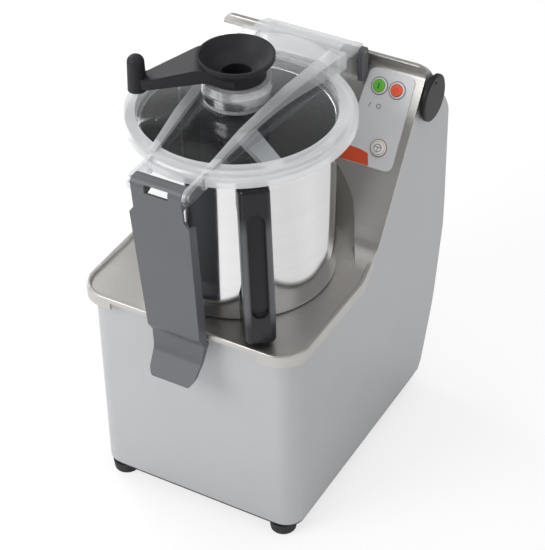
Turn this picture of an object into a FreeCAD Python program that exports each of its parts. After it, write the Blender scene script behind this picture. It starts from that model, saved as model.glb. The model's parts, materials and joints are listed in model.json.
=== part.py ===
import FreeCAD, Part
import math
import os

# Table-top vegetable cutter. Millimetres. X to the right, Y to the back, Z up.
# The origin is on the table, under the middle of the machine's outline.

V = FreeCAD.Vector
X_AXIS = V(1, 0, 0)
Y_AXIS = V(0, 1, 0)
Z_AXIS = V(0, 0, 1)

# Sheet metal body
sheet = 3.0
wall = 2.0
tray_level = 254.0
lip_half_width = 128.0
lip_side_overhang = 8.0
lip_front_overhang = 10.5
lip_corner = 31.0
body_corner = 22.0
back_corner = 10.0
bead_height = 3.0
bead_width = 4.5
bead_round = 1.4
skirt_height = 14.0
skirt_fade_start = -22.0
skirt_fade_end = 15.0
skirt_fade_round = 40.0
body_half_width = lip_half_width - lip_side_overhang
latch_gap_half_width = lip_half_width - 42.3

# Gaps between pieces that move, and between pieces that only meet
running_gap = 0.4
fit_gap = 0.3
shaft_clearance = 0.05

# Bowl, which the rest of the machine is built round
bowl_y = -46.0
bowl_radius = 97.0
bowl_height = 177.0
bowl_wall = 1.8
bowl_rim_z = tray_level + bowl_height
bowl_rim_radius = bowl_radius + 15.0
bowl_rim_thickness = 3.0
bowl_bottom_round = 4.0
column_radius = 24.3
column_height = 80.0
column_top = tray_level + column_height
pocket_radius = bowl_radius + 27.0
pocket_foot_radius = bowl_radius + 18.5
pocket_flare_height = 46.0
lip_front = bowl_y - bowl_radius - 24.5
body_front = lip_front + lip_front_overhang

# Hinge line of the lid
hinge_y = bowl_y + bowl_radius + 67.0
hinge_z = bowl_rim_z + 1.0
hinge_pin_radius = 4.0
hinge_half_width = body_half_width - 70.0
hinge_wall = 3.6
lug_radius = 7.0
lug_width = 6.0
notch_half_width = hinge_half_width + lug_width
notch_floor = hinge_z - 30.0
notch_back_margin = 7.2

# Tower, in side view
incline_angle = 56.1
slope = math.radians(incline_angle)
incline_top_y = hinge_y + 11.3
incline_top_z = bowl_rim_z - 14.3
incline_length = (incline_top_z - tray_level) / math.sin(slope)
incline_foot_y = incline_top_y - incline_length * math.cos(slope)
shoulder_round = 12.0
edge_round = 8.0
foot_blend = 45.0
header_height = 11.0
header_lean = 1.5
ridge_depth = 5.0
ridge_round = 1.5
back_y = incline_top_y + 68.9
back_bend_drop = 74.7
back_bend_z = incline_top_z - back_bend_drop
back_bend_lean = 2.4
back_bend_round = 90.0
step_z = tray_level - 37.4
step_depth = 7.2

# Lower back, curving in from the step to the base
base_back_y = back_y - 61.2
heel_depth = 7.5
heel_height = 9.6
heel_round = 14.0
haunch_depth = 33.5
haunch_height = 79.6
haunch_round = 220.0
neck_depth = 1.4
neck_height = 24.6
neck_round = 80.0
slot_count = 7
slot_pitch = 9.0
slot_width = 90.0
slot_thickness = 3.5
slot_first_z = 60.0
gland_x = -70.0
gland_z = 130.0
gland_thread_radius = 8.0
gland_nut_radius = 12.0
gland_nut_height = 6.0
gland_length = 13.0

# Base
foot_height = 13.0
foot_radius = 15.0
foot_taper = 1.2
foot_chamfer = 1.5
foot_recess = 5.0
foot_x = body_half_width - 21.5
front_foot_y = body_front + 14.0
rear_foot_y = base_back_y - 22.0
base_thickness = 3.4
base_inset = 1.2
flange_width = 36.0
flange_depth = 34.0
foot_screw_radius = 2.5
foot_screw_head = 4.6
foot_screw_grip = 4.0
body_bottom = foot_height + base_thickness

# Rear cover's screws
rear_screw_radius = 2.0
rear_screw_head = 4.2
rear_screw_length = 7.0
rear_screw_x = body_half_width - 12.0
rear_screw_low_z = step_z + 15.4
rear_screw_high_z = back_bend_z - 42.0
rear_tab_width = 18.0
rear_tab_height = 20.0

# Drive line
boss_radius = 21.0
boss_top = tray_level + 14.0
boss_depth = 14.0
seal_radius = 13.5
seal_height = 8.0
seat_thickness = 3.0
shaft_radius = 8.0
bearing_shaft_radius = 10.0
rotor_shaft_radius = 12.0
shaft_flat = 6.0
shaft_chamfer = 1.0
stator_radius = 62.0
stator_clearance = 75.6
stator_bottom = body_bottom + stator_clearance
stator_height = 96.0
groove_count = 12
groove_radius = 2.2
rotor_radius = 34.0
rotor_end_gap = 4.0
air_gap = 0.5
bell_thickness = 6.0
bell_neck = 4.0
bell_flare = 7.0
bell_lip = 2.0
bearing_radius = 21.0
bearing_width = 12.0
race_thickness = 3.4
race_step = 1.0
fan_radius = 48.0
fan_height = 14.0
fan_hub_radius = 13.0
fan_blades = 9
fan_blade_thickness = 2.0
fan_gap = 6.0
post_radius = 6.0
post_count = 4
post_circle = 52.0
drive_half_width = body_half_width - 50.0
drive_front_y = bowl_y + stator_radius + 16.0
drive_back_y = base_back_y - 37.0
drive_height = 74.0
fin_count = 9
fin_height = 16.0
fin_thickness = 3.0
fin_margin = 6.0

# Lid
lid_radius = bowl_rim_radius + 6.4
lid_ring_bottom = bowl_rim_z - 1.0
lid_ring_height = 16.0
lid_ring_round = 8.0
lid_window_radius = bowl_radius + 2.5
lid_window_z = bowl_rim_z + 10.8
lid_window_step = 1.0
lid_thickness = 3.3
lid_skirt_gap = 2.4
lid_seal_height = 3.0
throat_radius = 24.3
throat_wall = 9.0
throat_base = bowl_rim_z + 18.0
throat_top = throat_base + 32.5
collar_height = 20.5
collar_thickness = 1.7
hood_front_y = bowl_y + lid_radius - 18.4
hood_crest_y = hood_front_y + 24.0
hood_crest_z = bowl_rim_z + 31.0
hood_round = 10.0
hood_drop = 26.0
rib_front_y = bowl_y - lid_radius + 12.4
rib_rear_y = bowl_y + lid_radius - 2.4
rib_front_width = 7.0
rib_rear_x = throat_radius + throat_wall + 16.7
rib_rear_width = 18.0
rib_front_rise = 2.0
rib_middle_rise = 12.0
rib_crest_rise = 17.0
rib_rear_rise = 14.0
rib_round = 60.0

# Latch lever
pivot_y = bowl_y - lid_radius - 24.6
pivot_z = bowl_rim_z + 6.0
pivot_radius = 9.2
ear_thickness = 3.6
ear_radius = pivot_radius
lever_pin_radius = 2.5
lever_neck_half_width = 27.6
lever_top_half_width = 33.0
lever_low_half_width = 30.0
lever_neck_z = pivot_z - 14.0
lever_web = 3.0
lever_depth = 12.0
lever_foot_y = lip_front - 15.1
lever_foot_z = tray_level + 8.0
slot_half_width = 13.0
slot_height = 9.0
hook_overlap = 1.8
hook_gap = 3.8
hook_clearance = 1.4
tab_tip_y = lip_front - 27.5
tab_tip_z = tray_level - 51.0
tab_thickness = 2.4
tab_round = 14.0
rib_front_x = lever_neck_half_width + running_gap

# Crank
crank_radius = 29.0
funnel_radius = 38.0
funnel_top = throat_top + 23.5
funnel_bore = 15.0
funnel_lip = 4.0
funnel_wall = 2.0
spigot_bottom = throat_top - 15.5
arm_angle = 207.6
arm_length = bowl_radius
arm_root_top = funnel_top - 5.0
arm_root_bottom = funnel_top - 18.0
arm_tip_top = funnel_top - 25.0
arm_tip_bottom = funnel_top - 36.0
arm_root_half_width = 33.0
arm_tip_half_width = 7.0
arm_tip_round = 3.0
arm_bend = 30.0
arm_bend_round = 20.0
grip_radius = 9.6
grip_taper = 1.2
grip_dome = 7.5
grip_bottom = funnel_top - 40.0
grip_height = 38.5

# Scraper
scraper_radius = 19.0
scraper_bore = 15.0
scraper_top = spigot_bottom - 1.5
scraper_cup_floor = scraper_top - 66.5
scraper_cup_wall = 4.0
scraper_cup_taper = 12.0
scraper_window = 14.0
scraper_post_radius = 11.0
arm_level = bowl_rim_z - 12.0
arm_thickness = 7.0
scraper_arm_width = 18.0
scraper_arm_flare = 2.0
dark_arm_angle = 155.0
light_arm_angle = -34.0
wiper_gap = 1.0
wiper_thickness = 4.0
wiper_width = 21.0
drop_thickness = 5.0
drop_rise = 6.0
wiper_bottom = tray_level + 12.0
wiper_drop = 3.0
dog_half_width = 2.5
dog_height = 4.0
dog_gap = 0.9

# Blades
blade_hub_radius = 30.0
blade_hub_taper = 2.5
blade_hub_round = 6.0
blade_hub_bottom = tray_level + 3.0
blade_hub_top = column_top + 22.0
blade_cap = 10.0
blade_roof_gap = 3.0
blade_column_gap = 1.2
blade_thickness = 2.6
blade_tip_radius = bowl_radius - 15.0
blade_tip_width = 9.0
blade_width = 31.0
blade_root_angle = 58.0
blade_belly = 0.16
blade_hollow = 0.12
low_blade_z = tray_level + 7.0
high_blade_z = tray_level + 46.0
blade_teeth = 12
tooth_radius = 2.6
tooth_depth = 1.7
tooth_lean = 35.0

# Bowl handle
handle_angle = -52.5
handle_width = 31.0
handle_top = bowl_rim_z - 4.0
handle_bottom = tray_level + bead_height + 2.0
handle_top_reach = bowl_radius + 21.0
handle_bottom_reach = bowl_radius + 46.0
handle_bow_height = 30.0
handle_bow_round = 60.0
handle_end_round = 5.0
handle_edge_round = 6.0
handle_grip_depth = 17.0
handle_bridge = 30.0
handle_gap_round = 8.0
handle_scoop_width = 17.0
handle_scoop_depth = 6.5
handle_scoop_start = 33.0
handle_scoop_end = 25.0
handle_scoop_round = 4.0
stud_radius = 2.5
stud_length = 9.0

# Controls
panel_thickness = 0.8
panel_round = 8.0
panel_width = 60.0
panel_length = 101.0
panel_right = body_half_width - 9.0
panel_left = panel_right - panel_width
panel_start = incline_length - panel_length - 4.0
button_radius = 8.6
button_rim = 1.8
button_height = 2.4
button_crown = 1.2
button_edge = 0.6
button_travel = 1.2
stem_radius = 2.4
start_x = panel_right - 37.5
stop_x = panel_right - 17.2
start_along = incline_length - 21.5
pulse_x = panel_right - 20.2
pulse_along = start_along - 62.0
knob_y = incline_top_y + 7.7
knob_z = incline_top_z - 28.0
knob_radius = 25.6
knob_thickness = 4.6
knob_neck_radius = 17.4
knob_neck_flare = 2.0
knob_edge = 2.5
knob_base_radius = 20.4
knob_base_thickness = 2.2
knob_base_edge = 0.8
knob_stand = 8.0
dimple_radius = 1.5
dimple_depth = 1.2
dimple_inset = 7.0
spindle_radius = 3.0
spindle_clearance = 1.0
spindle_bite = 2.0
pot_radius = 12.0
pot_length = 14.0
pot_floor = 2.0
board_depth = 26.0
board_thickness = 1.6
board_left = panel_right - 48.0
board_right = panel_right - 11.0
board_low_margin = 14.0
board_high_margin = 10.0
board_post_radius = 3.0
board_post_inset = 4.0
switch_half_width = 5.0
switch_height = 5.0
chip_inset = 8.0
chip_width = 12.0
chip_length = 18.0
chip_height = 2.4
lid_switch_width = 28.0
lid_switch_depth = 16.0
lid_switch_height = 12.0


def unit(p, q):
    """Unit vector in the plane from p to q."""
    length = math.hypot(q[0] - p[0], q[1] - p[1])
    return ((q[0] - p[0]) / length, (q[1] - p[1]) / length)


def in_plan(z):
    return lambda u, v: V(u, v, z)


def in_side(x):
    return lambda u, v: V(x, u, v)


def in_front(y):
    return lambda u, v: V(u, y, v)


def outline(points, place):
    """Closed wire through corners (u, v, radius), each corner an arc tangent to its two sides."""
    count = len(points)
    starts = []
    ends = []
    arcs = []
    for i in range(count):
        u, v, radius = points[i]
        to_last = unit((u, v), points[i - 1])
        to_next = unit((u, v), points[(i + 1) % count])
        if radius <= 0:
            starts.append((u, v))
            ends.append((u, v))
            arcs.append(None)
            continue
        half = math.acos(to_last[0] * to_next[0] + to_last[1] * to_next[1]) / 2
        tangent = radius / math.tan(half)
        bisector = unit((0, 0), (to_last[0] + to_next[0], to_last[1] + to_next[1]))
        reach = radius / math.sin(half) - radius
        starts.append((u + to_last[0] * tangent, v + to_last[1] * tangent))
        ends.append((u + to_next[0] * tangent, v + to_next[1] * tangent))
        arcs.append((u + bisector[0] * reach, v + bisector[1] * reach))
    edges = []
    for i in range(count):
        if arcs[i] is not None:
            edges.append(Part.Arc(place(*starts[i]), place(*arcs[i]), place(*ends[i])).toShape())
        begin = place(*ends[i])
        finish = place(*starts[(i + 1) % count])
        if begin.distanceToPoint(finish) > 1e-6:
            edges.append(Part.LineSegment(begin, finish).toShape())
    return Part.Wire(edges)


def offset(points, distance, closed=True):
    """The same corners moved to the left of the way they run, with their radii kept in step."""
    count = len(points)
    moved = []
    for i in range(count):
        u, v, radius = points[i]
        first = i == 0 and not closed
        last = i == count - 1 and not closed
        before = unit(points[i - 1], points[i]) if not first else unit(points[0], points[1])
        after = unit(points[i], points[(i + 1) % count]) if not last else before
        normal_a = (-before[1], before[0])
        normal_b = (-after[1], after[0])
        scale = distance / (1 + normal_a[0] * normal_b[0] + normal_a[1] * normal_b[1])
        turn = before[0] * after[1] - before[1] * after[0]
        change = -distance if turn > 0 else distance
        new_radius = max(radius + change, 0.0) if radius > 0 else 0.0
        moved.append((u + (normal_a[0] + normal_b[0]) * scale,
                      v + (normal_a[1] + normal_b[1]) * scale, new_radius))
    return moved


def plan_prism(points, z0, z1):
    return Part.Face(outline(points, in_plan(z0))).extrude(Z_AXIS * (z1 - z0))


def side_prism(points, x0, x1):
    return Part.Face(outline(points, in_side(x0))).extrude(X_AXIS * (x1 - x0))


def front_prism(points, y0, y1):
    return Part.Face(outline(points, in_front(y0))).extrude(Y_AXIS * (y1 - y0))


def turned(points, x=0.0, y=0.0):
    """Solid of revolution about the upright axis through (x, y), from (radius, z, corner) points."""
    solid = Part.Face(outline(points, in_front(0.0))).revolve(V(0, 0, 0), Z_AXIS, 360)
    solid.translate(V(x, y, 0))
    return solid


def rod(radius, z0, z1, x=0.0, y=0.0):
    return Part.makeCylinder(radius, z1 - z0, V(x, y, z0), Z_AXIS)


def tube(outer, inner, z0, z1, x=0.0, y=0.0):
    return rod(outer, z0, z1, x, y).cut(rod(inner, z0, z1, x, y))


def cross_rod(radius, x0, x1, y, z):
    return Part.makeCylinder(radius, x1 - x0, V(x0, y, z), X_AXIS)


def block(x0, x1, y0, y1, z0, z1):
    return Part.makeBox(x1 - x0, y1 - y0, z1 - z0, V(x0, y0, z0))


def joined(shapes):
    result = shapes[0]
    for shape in shapes[1:]:
        result = result.fuse(shape)
    return result.removeSplitter()


def spun(shape, angle, y=0.0):
    """Copy turned about the upright axis on the mid plane at y."""
    copy = shape.copy()
    copy.rotate(V(0, y, 0), Z_AXIS, angle)
    return copy


def mirrored(shape):
    return shape.mirror(V(0, 0, 0), X_AXIS)


# Side view of the sheet metal, from the step at the back over the ridge to the front lip
ridge_z = incline_top_z + header_height
ridge_front_y = incline_top_y - header_lean
ridge_back_y = ridge_front_y + ridge_depth
tray_under = tray_level - sheet
skin = [(back_y, step_z, 0),
        (back_y - back_bend_lean, back_bend_z, back_bend_round),
        (ridge_back_y, ridge_z, 0),
        (ridge_front_y, ridge_z, ridge_round),
        (incline_top_y, incline_top_z, edge_round),
        (incline_foot_y, tray_level, foot_blend),
        (lip_front, tray_level, 0)]
skin_inside = offset(skin, sheet, closed=False)
lower_back = [(base_back_y, body_bottom, 0),
              (base_back_y + heel_depth, body_bottom + heel_height, heel_round),
              (base_back_y + haunch_depth, body_bottom + haunch_height, haunch_round),
              (back_y - step_depth - neck_depth, step_z - neck_height, neck_round),
              (back_y - step_depth, step_z, 0)]
body_plan = [(-body_half_width, body_front, body_corner),
             (body_half_width, body_front, body_corner),
             (body_half_width, back_y, back_corner),
             (-body_half_width, back_y, back_corner)]
cover_plan = [(-lip_half_width, lip_front, lip_corner),
              (lip_half_width, lip_front, lip_corner),
              (lip_half_width, skirt_fade_start, skirt_fade_round),
              (body_half_width, skirt_fade_end, skirt_fade_round),
              (body_half_width, back_y, back_corner),
              (-body_half_width, back_y, back_corner),
              (-body_half_width, skirt_fade_end, skirt_fade_round),
              (-lip_half_width, skirt_fade_start, skirt_fade_round)]
far = 400.0


def on_incline(x, along, lift):
    """Point on the sloping face, measured up the slope and out from it."""
    y = incline_foot_y + along * math.cos(slope) - lift * math.sin(slope)
    z = tray_level + along * math.sin(slope) + lift * math.cos(slope)
    return V(x, y, z)


def laid_on_incline(shape):
    """Moves a shape drawn flat, with Y up the slope and Z out of it, onto the sloping face."""
    shape.rotate(V(0, 0, 0), X_AXIS, incline_angle)
    shape.translate(on_incline(0.0, 0.0, 0.0))
    return shape


def pocket(grow, bottom):
    """Recess round the bowl: a cone that widens from the tray to an upright wall."""
    foot = pocket_foot_radius + grow
    wide = pocket_radius + grow
    flare_top = tray_level + pocket_flare_height
    return turned([(0, bottom, 0), (foot, bottom, 0), (wide, flare_top, 0), (wide, far + far, 0),
                   (0, far + far, 0)], 0, bowl_y)


def notch(grow):
    """Room for the lid hinge, between the two blocks at the top of the tower."""
    lean = (back_y - back_bend_lean - ridge_back_y) / (ridge_z - back_bend_z)
    back_top = ridge_back_y - notch_back_margin + grow
    back_low = back_top + lean * (ridge_z - notch_floor)
    half = notch_half_width + grow
    above = ridge_z + header_height
    return side_prism([(0.0, notch_floor - grow, 0), (back_low, notch_floor - grow, 0),
                       (back_top, ridge_z, 0), (back_top, above, 0), (0.0, above, 0)], -half, half)


def silhouette(inset):
    """Front view of the tower's top with its rounded shoulders, open to both sides below them."""
    half = body_half_width - inset
    radius = shoulder_round - inset
    shoulder_z = ridge_z - shoulder_round
    return front_prism([(-far, 0.0, 0), (far, 0.0, 0), (far, shoulder_z, 0), (half, shoulder_z, 0),
                        (half, ridge_z - inset, radius), (-half, ridge_z - inset, radius),
                        (-half, shoulder_z, 0), (-far, shoulder_z, 0)], -far, far)


def inside_back(z):
    """Y of the rear cover's inner face at height z, below its bend."""
    return back_y - sheet - back_bend_lean * (z - step_z) / (back_bend_z - step_z)


def rear_tabs():
    """Folded tabs on the side walls that the rear cover's screws bite into."""
    tabs = []
    side = body_half_width - wall
    for z in (rear_screw_low_z, rear_screw_high_z):
        low = z - rear_tab_height / 2
        high = z + rear_tab_height / 2
        tab = side_prism([(inside_back(low) - wall, low, 0), (inside_back(low), low, 0),
                          (inside_back(high), high, 0), (inside_back(high) - wall, high, 0)],
                         side - rear_tab_width, side)
        tabs += [tab, mirrored(tab)]
    return tabs


def foot_flanges():
    """Bottom flanges in the four corners, held by the foot screws."""
    flanges = []
    side = body_half_width - wall
    for y in (front_foot_y, rear_foot_y):
        flange = block(side - flange_width, side, y - flange_depth / 2, y + flange_depth / 2,
                       body_bottom, body_bottom + wall)
        flanges += [flange, mirrored(flange)]
    return flanges


def housing_shell():
    """Folded front, sides and lower back, open under the cover and over the base."""
    cheek = [(body_front, body_bottom, 0)] + lower_back
    cheek += [skin_inside[0], skin_inside[1], skin_inside[2], skin_inside[3], skin_inside[4]]
    cheek += [skin_inside[5], (body_front, tray_under, 0)]
    outer = side_prism(cheek, -body_half_width, body_half_width)
    outer = outer.common(plan_prism(body_plan, body_bottom, far + far))
    tunnel = [(-far, 0.0, 0)] + offset(lower_back, wall, closed=False)
    tunnel[1] = (tunnel[1][0] - wall, 0.0, 0)
    tunnel += [(far, step_z, 0), (far, far + far, 0), (-far, far + far, 0)]
    inner = side_prism(tunnel, -body_half_width, body_half_width)
    inner = inner.common(plan_prism(offset(body_plan, wall), -1.0, far + far))
    top = block(-far, far, -far, far, ridge_z - shoulder_round, far + far)
    shell = outer.cut(inner).cut(top)
    lining = plan_prism(offset(body_plan, wall / 2), body_bottom, far + far)
    shell = joined([shell] + rear_tabs() + [flange.common(lining) for flange in foot_flanges()])
    shell = shell.cut(back_slots()).cut(knob_hole())
    for x, y in foot_places():
        shell = shell.cut(rod(foot_screw_radius, 0.0, far / 2, x, y))
    for x, z in rear_screw_places():
        shell = shell.cut(Part.makeCylinder(rear_screw_radius, far, V(x, 0, z), Y_AXIS))
    return shell.cut(placed_gland(rod(gland_thread_radius + fit_gap, -gland_length, gland_length)))


def back_slots():
    """Row of cooling slots through the lower back wall."""
    cuts = []
    for i in range(slot_count):
        z = slot_first_z + i * slot_pitch
        cuts.append(block(-slot_width / 2, slot_width / 2, base_back_y - wall, back_y, z, z + slot_thickness))
    return Part.makeCompound(cuts)


def hexagon(radius, z0, z1):
    """Upright hexagonal bar about the Z axis."""
    corners = [V(radius * math.cos(math.radians(angle)), radius * math.sin(math.radians(angle)), z0)
               for angle in range(0, 361, 60)]
    return Part.Face(Part.makePolygon(corners)).extrude(Z_AXIS * (z1 - z0))


def placed_gland(shape):
    """Turns a shape drawn along Z square to the sloping lower back wall, outwards."""
    low = lower_back[2]
    high = lower_back[3]
    lean = (high[0] - low[0]) / (high[1] - low[1])
    shape.rotate(V(0, 0, 0), X_AXIS, -90.0 - math.degrees(math.atan(lean)))
    shape.translate(V(gland_x, low[0] + (gland_z - low[1]) * lean, gland_z))
    return shape


def cable_gland():
    """Threaded sleeve through the wall with a hexagonal nut on each side and a domed cap."""
    thread = gland_thread_radius
    sleeve = rod(thread, wall - gland_length, gland_nut_height)
    cap = turned([(0, gland_nut_height, 0), (thread + 2.5, gland_nut_height, 0),
                  (thread + 2.0, gland_length - 3.0, 0), (thread - 1.0, gland_length, 0), (0, gland_length, 0)])
    inner_nut = hexagon(gland_nut_radius, -wall - gland_nut_height, -wall)
    body = joined([sleeve, hexagon(gland_nut_radius, 0.0, gland_nut_height), cap, inner_nut])
    return placed_gland(body.cut(rod(gland_thread_radius / 2, -far, far)))


def knob_hole():
    return cross_rod(spindle_radius + spindle_clearance, body_half_width - 2 * wall, far, knob_y, knob_z)


def cover_body():
    """Tray, bowl pocket, sloping face and hinge notch as one sheet of even thickness."""
    back = [skin_inside[2], skin_inside[1], (skin_inside[0][0], tray_under, 0)]
    outside = [skin[2], skin[3], skin[4], skin[5], skin[6], (lip_front, tray_under, 0)] + back[::-1]
    inside = [skin_inside[2], skin_inside[3], skin_inside[4], skin_inside[5],
              (lip_front - sheet, tray_under, 0), (lip_front - sheet, -1.0, 0),
              (back_y + far, -1.0, 0), (back_y + far, skin_inside[2][1], 0)]
    outer = side_prism(outside, -lip_half_width, lip_half_width)
    outer = outer.common(plan_prism(cover_plan, body_bottom, far + far))
    outer = outer.common(silhouette(0.0)).cut(pocket(0.0, tray_level)).cut(notch(0.0))
    inner = side_prism(inside, -far, far).common(silhouette(sheet))
    inner = inner.cut(pocket(sheet, tray_under)).cut(notch(sheet))
    return outer.cut(inner)


def skirt():
    """Turned-down edge of the tray with its raised bead, left out in front of the latch."""
    rim = plan_prism(cover_plan, tray_level + bead_height - skirt_height, tray_level)
    rim = rim.cut(plan_prism(offset(cover_plan, sheet), 0.0, far + far))
    rim = rim.cut(plan_prism(body_plan, 0.0, far))
    rim = rim.cut(block(-latch_gap_half_width, latch_gap_half_width, lip_front - 1, body_front,
                        0.0, tray_under))
    bead = plan_prism(cover_plan, tray_level - 1.0, tray_level + bead_height)
    bead = bead.cut(plan_prism(offset(cover_plan, bead_width), 0.0, far + far))
    bead = bead.makeFillet(bead_round, [edge for edge in bead.Edges
                                        if edge.BoundBox.ZMin > tray_level + bead_height - 0.01])
    bead = bead.cut(block(-far, far, skirt_fade_end - bead_width, far + far, 0.0, far + far))
    return rim, bead


def top_cover():
    rim, bead = skirt()
    boss = tube(boss_radius, seal_radius, tray_under - boss_depth, boss_top, 0, bowl_y)
    seat_top = boss_top - seal_height
    seat = tube(seal_radius, bearing_shaft_radius, seat_top - seat_thickness, seat_top, 0, bowl_y)
    body = joined([cover_body(), rim, bead])
    body = body.cut(rod((boss_radius + seal_radius) / 2, 0.0, far, 0, bowl_y))
    body = joined([body, boss, seat])
    return body.cut(panel_holes())


def rear_cover():
    """Bent sheet that closes the back of the tower, from the ridge down to the step."""
    profile = [skin[0], skin[1], skin[2], skin_inside[2], skin_inside[1], skin_inside[0]]
    sheet_body = side_prism(profile, -body_half_width, body_half_width)
    sheet_body = sheet_body.common(plan_prism(body_plan, 0.0, far + far)).common(silhouette(0.0))
    for x, z in rear_screw_places():
        sheet_body = sheet_body.cut(placed_rear_screw(screw_blank(), x, z))
    return sheet_body


def rear_screw_places():
    return [(side * rear_screw_x, z) for side in (-1, 1) for z in (rear_screw_low_z, rear_screw_high_z)]


def screw_blank():
    """Flat-head screw along Z with its face at zero."""
    depth = rear_screw_head - rear_screw_radius
    end = -sheet - rear_screw_length
    return turned([(0, end, 0), (rear_screw_radius, end, 0),
                   (rear_screw_radius, -depth, 0), (rear_screw_head, 0, 0), (0, 0, 0)])


def countersunk_screw():
    socket = hexagon(rear_screw_radius * 0.7, -rear_screw_radius / 2, wall)
    return screw_blank().cut(socket)


def placed_rear_screw(screw, x, z):
    screw.rotate(V(0, 0, 0), X_AXIS, -90)
    screw.translate(V(x, inside_back(z) + sheet, z))
    return screw


def pan_screw(radius, head, length):
    """Pan-head screw standing on Z, with its head's flat underside at zero."""
    head_height = head * 0.55
    shank = rod(radius, -length, 0.0)
    cap = turned([(0, 0, 0), (head, 0, 0), (head * 0.7, head_height, 0), (0, head_height, 0)])
    cross = block(-head, head, -0.4, 0.4, head_height * 0.6, head_height + 1)
    return joined([shank, cap]).cut(cross.common(rod(head * 0.6, 0, head_height + 1)))


def rear_screws():
    screws = [placed_rear_screw(countersunk_screw(), x, z) for x, z in rear_screw_places()]
    return Part.makeCompound(screws)


def foot_places():
    return [(side * foot_x, y) for side in (-1, 1) for y in (front_foot_y, rear_foot_y)]


def base_plate():
    base_plan = offset([(-body_half_width, body_front, body_corner),
                        (body_half_width, body_front, body_corner),
                        (body_half_width, base_back_y, back_corner),
                        (-body_half_width, base_back_y, back_corner)], base_inset)
    plate = plan_prism(base_plan, foot_height, body_bottom)
    for x, y in foot_places():
        plate = plate.cut(rod(foot_screw_radius, 0.0, far, x, y))
    return plate


def rubber_feet():
    feet = []
    for x, y in foot_places():
        foot = turned([(foot_screw_radius, foot_recess, 0), (foot_screw_head + foot_taper, foot_recess, 0),
                       (foot_screw_head + foot_taper, 0, 0), (foot_radius - foot_taper - foot_chamfer, 0, 0),
                       (foot_radius - foot_taper, foot_chamfer, 0), (foot_radius, foot_height, 0),
                       (foot_screw_radius, foot_height, 0)], x, y)
        feet.append(foot)
    return Part.makeCompound(feet)


def foot_screws():
    screws = []
    for x, y in foot_places():
        length = foot_height - foot_recess + base_thickness + wall + foot_screw_grip
        screw = pan_screw(foot_screw_radius, foot_screw_head, length)
        screw.rotate(V(0, 0, 0), X_AXIS, 180)
        screw.translate(V(x, y, foot_recess))
        screws.append(screw)
    return Part.makeCompound(screws)


# Drive line, from the fan under the motor to the blades in the bowl
stator_top = stator_bottom + stator_height
lower_bearing_bottom = stator_bottom - bell_thickness - bearing_width
upper_bearing_bottom = stator_top + bell_thickness
fan_bottom = lower_bearing_bottom - fan_gap - fan_height


def motor_stator():
    core = tube(stator_radius, rotor_radius + air_gap, stator_bottom, stator_top, 0, bowl_y)
    for i in range(groove_count):
        groove = rod(groove_radius, 0.0, far, stator_radius, bowl_y)
        core = core.cut(spun(groove, i * 360.0 / groove_count, bowl_y))
    return core


def bell(seat_low, seat_high, flange_low, flange_high, lip_z):
    """End bell: a flange on the stator and a conical neck round one bearing."""
    bore = bearing_shaft_radius + bell_lip
    inward = flange_low if lip_z > flange_low else flange_high
    outward = flange_high if lip_z > flange_low else flange_low
    shell = turned([(bore, inward, 0), (stator_radius, inward, 0), (stator_radius, outward, 0),
                    (bearing_radius + bell_flare, outward, 0), (bearing_radius + bell_neck, lip_z, 0),
                    (bore, lip_z, 0)], 0, bowl_y)
    return shell.cut(rod(bearing_radius, seat_low, seat_high, 0, bowl_y))


def lower_bell():
    flange_low = stator_bottom - bell_thickness
    return bell(lower_bearing_bottom, stator_bottom + bell_lip, flange_low, stator_bottom,
                lower_bearing_bottom - bell_lip)


def upper_bell():
    flange_high = stator_top + bell_thickness
    bearing_top = upper_bearing_bottom + bearing_width
    return bell(stator_top - bell_lip, bearing_top, stator_top, flange_high, bearing_top + bell_lip)


def ball_bearing(bottom):
    top = bottom + bearing_width
    inner_race = bearing_shaft_radius + race_thickness
    outer_race = bearing_radius - race_thickness
    inner = tube(inner_race, bearing_shaft_radius + shaft_clearance, bottom, top, 0, bowl_y)
    outer = tube(bearing_radius, outer_race, bottom, top, 0, bowl_y)
    shield = tube(outer_race, inner_race, bottom + race_step, top - race_step, 0, bowl_y)
    return joined([inner, outer, shield])


def motor_posts():
    """Four hexagonal posts that hang the motor from the underside of the tray."""
    posts = []
    for i in range(post_count):
        post = hexagon(post_radius, stator_top + bell_thickness, tray_under)
        post.translate(V(post_circle, bowl_y, 0))
        posts.append(spun(post, 45.0 + i * 360.0 / post_count, bowl_y))
    return Part.makeCompound(posts)


def motor_rotor():
    return tube(rotor_radius, rotor_shaft_radius, stator_bottom + rotor_end_gap, stator_top - rotor_end_gap,
                0, bowl_y)


def motor_shaft():
    """Stepped shaft: fan seat, two bearing seats, rotor seat, seal land and the drive end."""
    start = fan_bottom - shaft_radius / 2
    shoulder = lower_bearing_bottom - fan_gap / 2
    rotor_low = stator_bottom + rotor_end_gap / 2
    rotor_high = stator_top - rotor_end_gap / 2
    seal_land = boss_top - seal_height - 2 * seat_thickness
    end = blade_hub_top - blade_cap
    shaft = turned([(0, start, 0), (shaft_radius, start, 0),
                    (shaft_radius, shoulder, 0), (bearing_shaft_radius, shoulder, 0),
                    (bearing_shaft_radius, rotor_low, 0), (rotor_shaft_radius, rotor_low, 0),
                    (rotor_shaft_radius, rotor_high, 0), (bearing_shaft_radius, rotor_high, 0),
                    (bearing_shaft_radius, seal_land, 0), (shaft_radius, seal_land, 0),
                    (shaft_radius, end - shaft_chamfer, 0), (shaft_radius - shaft_chamfer, end, 0), (0, end, 0)],
                   0, bowl_y)
    flat = block(shaft_flat, far, bowl_y - far, bowl_y + far, column_top + shaft_radius / 4, far)
    return shaft.cut(flat).cut(spun(flat, 180, bowl_y))


def shaft_seal():
    return tube(seal_radius, shaft_radius + shaft_clearance, boss_top - seal_height, boss_top, 0, bowl_y)


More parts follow.
